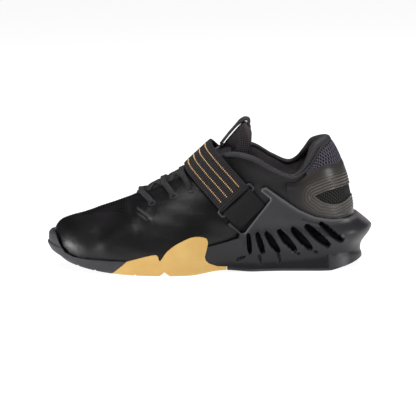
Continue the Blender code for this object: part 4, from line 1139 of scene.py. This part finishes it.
def make_tongue_mesh():
    finish = Finish("tongue_mesh", srgb(40, 37, 41), 0.8, Specular_IOR_Level=0.2)
    x, y, z = finish.axes(finish.place)
    along, across = x * 0.62 + z * 0.78, y * 1.0 + (z * 0.62 - x * 0.78)
    lattice = abs((along + across * 0.8).wave(0.0052)) * abs((along - across * 0.8).wave(0.0052))
    hole = lattice.step(0.25, 0.5) * (1 - finish.marked("border"))
    finish.feed(Base_Color=hole.blend(srgb(54, 49, 52), srgb(9, 7, 9)), Roughness=0.7 + hole * 0.2)
    finish.relief(1 - hole, 0.0005)
    return finish.material


def make_tape(name, colour, ribs):
    finish = Finish(name, colour, 0.7, Specular_IOR_Level=0.25)
    x, y, z = finish.axes(finish.place)
    cross = (x * 0.67 + z * 0.74).wave(ribs) * 0.5 + y.wave(ribs) * 0.5
    finish.feed(Base_Color=finish.noise(90).step(0.3, 0.9).blend(colour, srgb(66, 61, 63)))
    finish.relief(cross, 0.0002)
    return finish.material

# %% [markdown]
# The tongue keeps open mesh in its middle; its border is plain, and the share kept on its points tells the
# finish where.

# %% Tongue
TONGUE_MESH = make_tongue_mesh()
tongue = rounded_copy("tongue", "tongue_pad", TONGUE_MESH, 2)
TONGUE_EDGE = ((-0.0850, 0.1280), (-0.0700, 0.1390), (-0.0660, 0.1290), (-0.0610, 0.1140), (-0.0600, 0.0980))
mark(tongue, "border", lambda x, z: 1 - smoothstep(0.0022, 0.0034, near_line(TONGUE_EDGE, x, z)))
ride(tongue, "tongue_mesh", "tongue")

# %% [markdown]
# The loop is a flat tape that rises in front of the tongue, turns over its tip and is caught
# behind it. It is swept a little under the solid, and thicker where the tape is folded.

# %% Loop and footbed
LOOP_LINE = (
    (-0.0935, 0.1160), (-0.0895, 0.1210), (-0.0850, 0.1265), (-0.0800, 0.1320), (-0.0755, 0.1365),
    (-0.0715, 0.1393), (-0.0685, 0.1400), (-0.0660, 0.1385), (-0.0658, 0.1345), (-0.0668, 0.1300),
)
loop_path = through([(x, 0.0, z) for x, z in LOOP_LINE], 4)
loop_ahead = np.gradient(loop_path, axis=0)
loop_front = np.stack((-loop_ahead[:, 2], 0 * loop_ahead[:, 0], loop_ahead[:, 0]), axis=1)
near_tip = np.exp(-(((loop_path[:, 2] - 0.1385) / 0.0035) ** 2))
loop_path = loop_path - unit(loop_front) * 0.0005
loop_tape = make_tape("loop_tape", srgb(46, 42, 44), 0.0012)
loop = sweep("loop_ribbon", loop_path, loop_front, 0.0060, 0.0010 + 0.0007 * near_tip, loop_tape, corner=0.3)
ride(loop, "loop_tape", "pull_loop")
footbed_cloth = make_tape("footbed_cloth", srgb(40, 38, 41), 0.0014)
ride(rounded_copy("insole", "footbed", footbed_cloth, 1), "insole_cloth", "insole")

# %% [markdown]
# The strap. Its plane leans back over the instep, so a place on it is an angle round an axis
# plus a height over the upper. It starts under the inner wing, crosses the top, folds back
# through a ring and doubles over itself; a woven tab ties the ring to the outer wing. The
# wrap's table gives, every 12 degrees, how far the upper is from the axis and how it slopes.

# %% Places on the wrap
STRAP_AXIS = np.array((-0.0755, 0.0, 0.0640))
STRAP_WIDE = np.array((0.74, 0.0, 0.67))
STRAP_UP = np.array((-0.67, 0.0, 0.74))
OUTER_WAY = np.array((0.0, -1.0, 0.0))
STRAP_WIDTH, STRAP_THICK = 0.034, 0.0016
TAB_WIDTH, TAB_THICK = 0.0335, 0.0014
BAR_RADIUS, BAR_HEIGHT, RING_REACH, CLEAR = 0.0013, 0.0037, 0.0195, 0.0005
STRAP_BAR, TAB_BAR = 76.0, 86.0
WRAP_STEP = 12
WRAP = (
    (0.04307, 0.140), (0.03869, 0.105), (0.03591, 0.078), (0.03489, 0.055), (0.03522, 0.033),
    (0.03672, 0.012), (0.03973, -0.008), (0.04433, -0.014), (0.05053, -0.006), (0.05666, -0.018),
    (0.05700, -0.004), (0.05542, 0.000), (0.05622, -0.004), (0.05572, -0.023), (0.05107, -0.034),
    (0.04595, -0.086), (0.04213, -0.115), (0.03978, -0.114), (0.03865, -0.099), (0.03866, -0.083),
    (0.04003, -0.061), (0.04319, -0.031), (0.04810, 0.010),
)
WRAP_FINE = through(WRAP, WRAP_STEP)


def wrap_point(angle, height, across):
    a = math.radians(angle)
    way = STRAP_UP * math.cos(a) + OUTER_WAY * math.sin(a)
    angles = np.arange(len(WRAP_FINE)) - (len(WRAP) // 2) * WRAP_STEP
    level_here, slope = (np.interp(angle, angles, WRAP_FINE[:, k]) for k in (0, 1))
    return STRAP_AXIS + STRAP_WIDE * across + way * (level_here + slope * across + height)


def wrap_band(name, path, width, thick, finish):
    """A flat band with rounded edges along (angle, height) places."""
    path = through(path, 3)
    middle = np.array([wrap_point(a, h, 0.0) for a, h in path])
    ahead = unit(np.gradient(middle, axis=0))
    side = np.array([wrap_point(a, h, width / 2) - wrap_point(a, h, -width / 2) for a, h in path])
    normals = np.cross(ahead, side)
    band = sweep(name, middle, normals, width / 2, thick / 2, finish, corner=0.25, turns=32)
    return band, middle, normals, side


def fold(bar, height, radius, towards):
    turn = []
    reach = np.linalg.norm(wrap_point(bar, 0.0, 0.0) - STRAP_AXIS)
    for k in range(1, 6):
        a = math.radians(-90 + 30 * k)
        turn.append((bar + towards * math.degrees(radius * math.cos(a) / reach), height + radius * math.sin(a)))
    return turn

# %% [markdown]
# Elastic and webbing. Elastic shows cords along the strap and fine ribs across it, webbing a
# twill. Both are waves in metres of the UV map, so they turn round the fold with the band.

# %% Elastic and webbing
def make_elastic():
    finish = Finish("strap_elastic", srgb(34, 32, 34), 0.75, Specular_IOR_Level=0.2)
    u, v = finish.flat()
    ribs = u.wave(0.0021) * 0.5 + 0.5
    runs = abs(v.wave(0.0034))
    weave = (ribs * 0.5 + runs * 0.5).step(0.2, 0.9)
    finish.feed(Base_Color=weave.blend(srgb(4, 4, 5), srgb(50, 47, 50)), Roughness=0.66 + ribs * 0.14)
    finish.relief(ribs * runs + finish.noise(1600) * 0.3, 0.0004)
    return finish.material


def make_webbing():
    finish = Finish("tab_webbing", srgb(34, 33, 35), 0.7, Specular_IOR_Level=0.25)
    u, v = finish.flat()
    twill = (u + v).wave(0.0015) * 0.5 + (u - v).wave(0.0008) * 0.25 + 0.5
    finish.feed(Base_Color=twill.blend(srgb(12, 11, 13), srgb(30, 29, 31)), Roughness=0.62 + twill * 0.1)
    finish.relief(twill + finish.noise(1600) * 0.3, 0.0003)
    return finish.material

# %% [markdown]
# The paths. Each band starts low on the leather, turns round its bar of the ring in a half
# circle, and comes back one thickness higher, as the real ones are threaded.

# %% Strap and tab
low = CLEAR + STRAP_THICK / 2
radius = BAR_RADIUS + GAP + STRAP_THICK / 2
over_low = low + STRAP_THICK + GAP
path = [(angle, low) for angle in range(-118, int(STRAP_BAR) - 1, 6)]
path += [(STRAP_BAR, low)] + fold(STRAP_BAR, BAR_HEIGHT, radius, 1) + [(STRAP_BAR, BAR_HEIGHT + radius)]
fold_end = len(path)
path += [(STRAP_BAR - 8, BAR_HEIGHT + radius - 0.0008), (STRAP_BAR - 16, over_low + 0.0006)]
path += [(angle, over_low) for angle in range(int(STRAP_BAR) - 24, -43, -6)]
elastic = make_elastic()
strap, strap_line, strap_up, strap_side = wrap_band("strap_band", path, STRAP_WIDTH, STRAP_THICK, elastic)
ride(strap, "strap_web", "strap")

tab_low = CLEAR + TAB_THICK / 2
tab_radius = BAR_RADIUS + GAP + TAB_THICK / 2
tab_path = [(angle, tab_low) for angle in range(118, int(TAB_BAR) + 10, -5)]
tab_path += [(TAB_BAR + 8, tab_low + 0.0004), (TAB_BAR, BAR_HEIGHT - tab_radius)]
tab_path += fold(TAB_BAR, BAR_HEIGHT, tab_radius, -1) + [(TAB_BAR, BAR_HEIGHT + tab_radius)]
tab_path += [(TAB_BAR + 7, BAR_HEIGHT + tab_radius - 0.0008), (TAB_BAR + 14, tab_low + TAB_THICK + 0.001)]
tab_path += [(angle, tab_low + TAB_THICK + GAP) for angle in (104, 108, 111)]
ride(wrap_band("tab_band", tab_path, TAB_WIDTH, TAB_THICK, make_webbing())[0], "tab_web", "strap_tab")

# %% [markdown]
# The ring is a round wire in an oblong. It is swept along corners that lie on the two folds,
# so it sits in them however the wrap is changed; a torus would fit only a flat strap.

# %% Ring
def make_ring():
    corners, straight = [], STRAP_WIDTH / 2 - 0.0015
    for side, bar in ((-1, STRAP_BAR), (1, TAB_BAR)):
        spread = (-1, -0.33, 0.33, 1) if side < 0 else (1, 0.33, -0.33, -1)
        corners += [wrap_point(bar, BAR_HEIGHT, across * straight) for across in spread]
        for share in (0.18, 0.5, 0.82):
            angle = bar + (STRAP_BAR + TAB_BAR - 2 * bar) * share
            corners.append(wrap_point(angle, BAR_HEIGHT, -side * RING_REACH * (0.985 if share != 0.5 else 1.0)))
    line = through([*corners, corners[0]], 4)[:-1]
    facing = np.tile(wrap_point(81, 1.0, 0.0) - wrap_point(81, 0.0, 0.0), (len(line), 1))
    finish = make_moulded("ring_plastic", srgb(52, 51, 55), srgb(62, 61, 65), 0.36, 1500, 0.00006)
    return sweep("ring_loop", line, facing, BAR_RADIUS - GAP / 2, BAR_RADIUS - GAP / 2, finish, closed=True)


ride(make_ring(), "ring_plastic", "strap_ring")

# %% [markdown]
# Gold stitching on the strap. Four lines of short cross stitches run along the elastic. They
# are the brightest small marks on the shoe, so each stitch is a real bead of thread.

# %% Strap stitches
GOLD_THREAD = Finish("gold_thread", srgb(206, 160, 92), 0.5, Sheen_Weight=0.3)
GOLD_THREAD.feed(Base_Color=GOLD_THREAD.noise(500).blend(srgb(186, 140, 76), srgb(226, 184, 116)))
GOLD_THREAD.relief(GOLD_THREAD.noise(2500), 0.0002)
STRIPES = (-0.33, -0.12, 0.09, 0.31)
STITCH_PITCH = 0.0018


def stitch_lines(line, up, side, shares, thick, first, last):
    spots = []
    length = lengths(line)
    for share in shares:
        for s in np.arange(length[first], length[last], STITCH_PITCH):
            i = min(int(np.searchsorted(length, s)), len(line) - 2)
            t = (s - length[i - 1]) / max(length[i] - length[i - 1], 1e-9)
            middle = line[i - 1] + (line[i] - line[i - 1]) * t + side[i] * share
            ahead, rise = unit(line[i] - line[i - 1]), unit(up[i])
            across = unit(side[i]) + ahead * 0.35
            spots.append((middle + rise * thick, ahead * 0.0006, across * 0.00068, rise * 0.0004))
    return spots


fold_fine = fold_end * 3
sign = 1.0 if strap_up[fold_fine + 12] @ (strap_line[fold_fine + 12] - STRAP_AXIS) > 0 else -1.0
upper_run, lower_run = (fold_fine - 1, len(strap_line) - 2), (6, 40)
spots = stitch_lines(strap_line, strap_up * sign, strap_side, STRIPES, STRAP_THICK / 2, *upper_run)
spots += stitch_lines(strap_line, -strap_up * sign, strap_side, STRIPES, STRAP_THICK / 2, *lower_run)
ride(beads("strap_stitches", spots, GOLD_THREAD.material), "strap_web")

# %% [markdown]
# Laces and eyelets. Flat braided laces cross the throat from eyelet to eyelet. Their ends and
# knot lie hidden under the strap, so only the crossings are made: ovals swept along a smooth
# line that leaves each eyelet and lies over the throat's edges. A bar is told by the ribs of
# its outer eyelet and edge, then of its inner ones; a crossing by the ribs of its two edges.

# %% Rows of the laces
EYELET_HEIGHT = 0.76
LACE_BARS = ((6.05, 5.65, 6.05, 5.65), (6.95, 6.75, 6.90, 6.75), (7.62, 7.50, 7.60, 7.50))
LACE_CROSSES = ((5.95, 6.65), (6.70, 5.90), (6.95, 7.40), (7.45, 6.90))
FACE_CROWN = 0.0040


def face_point(place, across, lift=0.0):
    """The tongue's cover in the throat: across runs from the outer edge, 0, to the inner, 1."""
    place, across = np.broadcast_arrays(np.atleast_1d(np.asarray(place, float)), across)
    outer, inner = over(place, 0.985, -0.0022), over(-place, 0.985, -0.0022)
    crown = FACE_CROWN * 4 * across * (1 - across) + lift
    return outer + (inner - outer) * across[:, None] + crown[:, None] * UP

# %% [markdown]
# Between the lace rows the tongue shows. A slightly crowned sheet of the same mesh closes the
# throat from edge to edge, since the tongue's solid ends further in.

# %% Tongue in the throat
def make_throat_face():
    place, across = np.meshgrid(np.linspace(5.3, 9.2, 60), np.linspace(0.0, 1.0, 30), indexing="ij")
    points = face_point(place.ravel(), across.ravel()).reshape(60, 30, 3)
    face = draped("throat_face", points, TONGUE_MESH)
    wall = face.modifiers.new("wall", "SOLIDIFY")
    wall.thickness, wall.offset = 0.0012, 0
    return settled(face)


throat_face = make_throat_face()
mark(throat_face, "border", lambda x, z: 0 * x)
ride(throat_face, "tongue_mesh")

# %% [markdown]
# The laces. A bar comes out of its eyelet and goes over the edge and the crown of the tongue
# to the other side; a crossing runs under the edges. Curves through a few places follow the
# surface closely enough, without the cost of a cloth simulation.

# %% Laces
def make_braid():
    finish = Finish("lace_braid", srgb(40, 38, 40), 0.7, Specular_IOR_Level=0.3)
    u, v = finish.flat()
    braid = abs((u + abs(v) * 1.2).wave(0.0030))
    finish.feed(Base_Color=braid.blend(srgb(18, 17, 18), srgb(48, 46, 48)))
    finish.relief(braid + finish.noise(1800) * 0.3, 0.0004)
    return finish.material


BRAID = make_braid()


def lace_bar(outer_eyelet, outer_edge, inner_eyelet, inner_edge):
    """A lace from an outer eyelet over the throat's edge and the tongue to the inner one."""
    knots, facing = [], []
    share = np.array((0.0, 0.30, 0.65, 0.96))
    for eyelet, edge in ((outer_eyelet, outer_edge), (-inner_eyelet, -inner_edge)):
        places = eyelet + (edge - eyelet) * share**1.3
        heights = EYELET_HEIGHT + (1.0 - EYELET_HEIGHT) * share
        knots.append(over(places, heights, np.array((-0.0008, 0.0013, 0.0014, 0.0015))))
        facing.append(rib_normal(places, heights))
    middle = (outer_edge + inner_edge) / 2 - 0.1
    crest = face_point(middle, np.array((0.3, 0.5, 0.7)), 0.0020)
    path = through([*knots[0], *crest, *knots[1][::-1]], 6)
    normals = through([*facing[0], *([UP] * 3), *facing[1][::-1]], 6)
    return sweep("lace", path, normals, 0.0027, 0.0013, BRAID, corner=0.8, turns=14)


def lace_cross(outer_edge, inner_edge):
    """A lace that comes from under one throat edge and crosses the tongue to the other."""
    across = np.linspace(0.02, 0.98, 9)
    path = face_point(outer_edge + (inner_edge - outer_edge) * across, across, 0.0012)
    path = through(path, 4)
    normals = np.tile(np.array((-0.35, 0.0, 0.93)), (len(path), 1)) + path * (0, 14, 0)
    return sweep("lace", path, normals, 0.0026, 0.0012, BRAID, corner=0.8, turns=14)


laces = [lace_bar(*row) for row in LACE_BARS] + [lace_cross(*row) for row in LACE_CROSSES]
ride(joined("lace_cords", laces), "lace_cord", "laces")

# %% [markdown]
# The eyelets. A small oval rim is swept round each hole, a little below where the lace comes
# out, and turned to lie on the leather.

# %% Eyelet rims
EYELET = make_moulded("eyelet_rim", srgb(44, 43, 46), srgb(52, 51, 54), 0.5, 1500, 0.00005)
EYELET_ALONG, EYELET_ACROSS, EYELET_TURNS = 0.0030, 0.0026, 24
eyelets = []
for bar in LACE_BARS:
    for rib in (bar[0], -bar[2]):
        middle, rise = over(rib, EYELET_HEIGHT - 0.012, 0.0004)[0], rib_normal(rib, EYELET_HEIGHT)[0]
        side = unit(np.cross(rise, UP))
        turn = np.linspace(0, 2 * math.pi, EYELET_TURNS, endpoint=False)
        circle = middle + np.outer(np.cos(turn), side) * EYELET_ALONG
        circle = circle + np.outer(np.sin(turn), np.cross(rise, side)) * EYELET_ACROSS
        facing = np.tile(rise, (EYELET_TURNS, 1))
        eyelets.append(sweep("eyelet", circle, facing, 0.0006, 0.0005, EYELET, closed=True, turns=8))
ride(joined("eyelet_rims", eyelets), "lace_cord")

# %% [markdown]
# Pinholes and seams. The vamp breathes through rows of pinholes, and its panels are joined by tonal stitching.
# Holes about a millimetre wide are set as near-black discs on the leather, painted shade for the inside of each
# hole, and stitches as small beads, because cutting hundreds of holes would only slow the mesh down.

# %% Pinholes
DARK_THREAD = make_moulded("dark_thread", srgb(26, 25, 27), srgb(40, 39, 41), 0.6, 2200, 0.0001)
# Painted shade: each pinhole is a near-black disc without reflection, standing for the shade inside the hole.
HOLE_SHADE = Finish("pinhole_shade", srgb(2, 2, 2), 0.95, Specular_IOR_Level=0.0).material


HOLES_FROM, HOLES_TO, ROW_PITCH, HOLE_PITCH, HOLE_RADIUS = -0.2235, -0.1830, 0.0024, 0.0030, 0.00072


def make_pinholes():
    form = bmesh.new()
    for row, x in enumerate(np.arange(HOLES_FROM, HOLES_TO, ROW_PITCH)):
        reach = 0.0045 + (x - HOLES_FROM) * 0.42
        for y in np.arange(-0.024, 0.024, HOLE_PITCH) + (row % 2) * HOLE_PITCH / 2:
            middle, normal = spot(UPPER_TREE, (x, y, 0.2), (0, 0, -1))
            if middle is None or abs(y) > reach or middle[2] < 0.035:
                continue
            turn = Vector(normal).to_track_quat("Z", "Y").to_matrix().to_4x4()
            turn.translation = Vector(middle + normal * 0.00012)
            bmesh.ops.create_circle(form, cap_ends=True, segments=8, radius=HOLE_RADIUS, matrix=turn)
    return add_piece("vamp_pinholes", form, HOLE_SHADE)


ride(make_pinholes(), "upper_leather")

# %% [markdown]
# Seams. Two rows of stitches follow each side of the throat and one the collar. Each stitch
# is a flattened bead of a few dozen faces, placed at equal lengths along the ribs.

# %% Tonal seams
def seam_stitches(first, last, height, pitch=0.0026):
    """Stitches that follow the ribs' places at a height that may change along them."""
    places = np.linspace(first, last, 400)
    heights = np.interp(places, np.linspace(first, last, len(height)), height)
    line, normals = over(places, heights, 0.0002), rib_normal(places, heights)
    length = lengths(line)
    made = []
    for s in np.arange(0.0, length[-1], pitch):
        i = min(int(np.searchsorted(length, s)), len(line) - 2)
        ahead = unit(line[i + 1] - line[i])
        across = np.cross(normals[i], ahead)
        made.append((line[i], ahead * pitch * 0.34, across * 0.0003, normals[i] * 0.0003))
    return made


seams = []
for way in (1, -1):
    seams += seam_stitches(way * 5.15, way * 8.7, (0.90, 0.905, 0.91, 0.92))
    seams += seam_stitches(way * 5.15, way * 8.7, (0.87, 0.875, 0.88, 0.89))
    seams += seam_stitches(way * 9.0, way * 14.95, (0.885, 0.885))
ride(beads("seam_stitches", seams, DARK_THREAD), "upper_leather")

# %% [markdown]
# Stage, light and camera. Catalogue shots use a long lens a little above the floor, a pale
# sweep and wide soft lamps. The camera is rolled by about a degree, because in the picture
# the floor line rises slightly towards the heel.

# %% Floor
def add_floor():
    form = bmesh.new()
    bmesh.ops.create_circle(form, cap_ends=True, segments=64, radius=9.0)
    glow = {"Emission_Color": (1, 1, 1, 1), "Emission_Strength": 0.92}
    finish = Finish("pale_floor", (0.3, 0.3, 0.3, 1.0), 0.95, **glow)
    add_piece("floor", form, finish.material)

# %% [markdown]
# Lamps. A large key and a larger top lamp keep the shadows soft. A small one at the toe and
# one at the heel draw the bright streaks that show where the dark leather curves.

# %% Lamps
def add_lamp(name, place, size, power):
    data = bpy.data.lights.new(name, "AREA")
    data.shape, data.size, data.energy = "DISK", size, power
    lamp = add_object(name, data)
    lamp.location = place
    lamp.rotation_euler = (AIM - Vector(place)).to_track_quat("-Z", "Y").to_euler()


AIM = Vector((-0.106, 0.0, 0.0547))
add_floor()
add_lamp("key", (-0.3, -1.0, 1.5), 0.6, 13.0)
add_lamp("top", (0.1, 0.4, 1.6), 1.0, 22.0)
add_lamp("toe", (-1.35, -0.35, 0.16), 0.28, 9.0)
add_lamp("heel", (1.3, -0.6, 0.4), 0.40, 8.0)
print("lamps:", len(bpy.data.lights))
world = bpy.data.worlds.new("studio")
bpy.context.scene.world = world
world.use_nodes = True
world.node_tree.nodes["Background"].inputs["Color"].default_value = (1, 1, 1, 1)
world.node_tree.nodes["Background"].inputs["Strength"].default_value = 0.04
bpy.context.scene.view_settings.view_transform = "Standard"

# %% [markdown]
# Camera. A long lens from ten degrees above the floor flattens the shoe as in a catalogue.
# The distance follows from the width that the frame shows, so the shoe keeps its scale.

# %% Camera
LENS, SENSOR, FRAME_WIDTH = 0.200, 0.036, 0.3931
ELEVATION, ROLL = math.radians(10.0), math.radians(-1.05)
distance = FRAME_WIDTH * LENS / SENSOR
print("camera distance:", round(distance, 3), "m")
camera_data = bpy.data.cameras.new("camera")
camera_data.lens, camera_data.sensor_width = LENS * 1000, SENSOR * 1000
camera = add_object("camera", camera_data)
camera.location = AIM + Vector((0.0, -math.cos(ELEVATION), math.sin(ELEVATION))) * distance
facing = (AIM - camera.location).to_track_quat("-Z", "Y").to_matrix() @ Matrix.Rotation(ROLL, 3, "Z")
camera.rotation_euler = facing.to_euler()
bpy.context.scene.camera = camera

# %% [markdown]
# Closing. The view layer is brought up to date.

# %% Finish
bpy.context.view_layer.update()
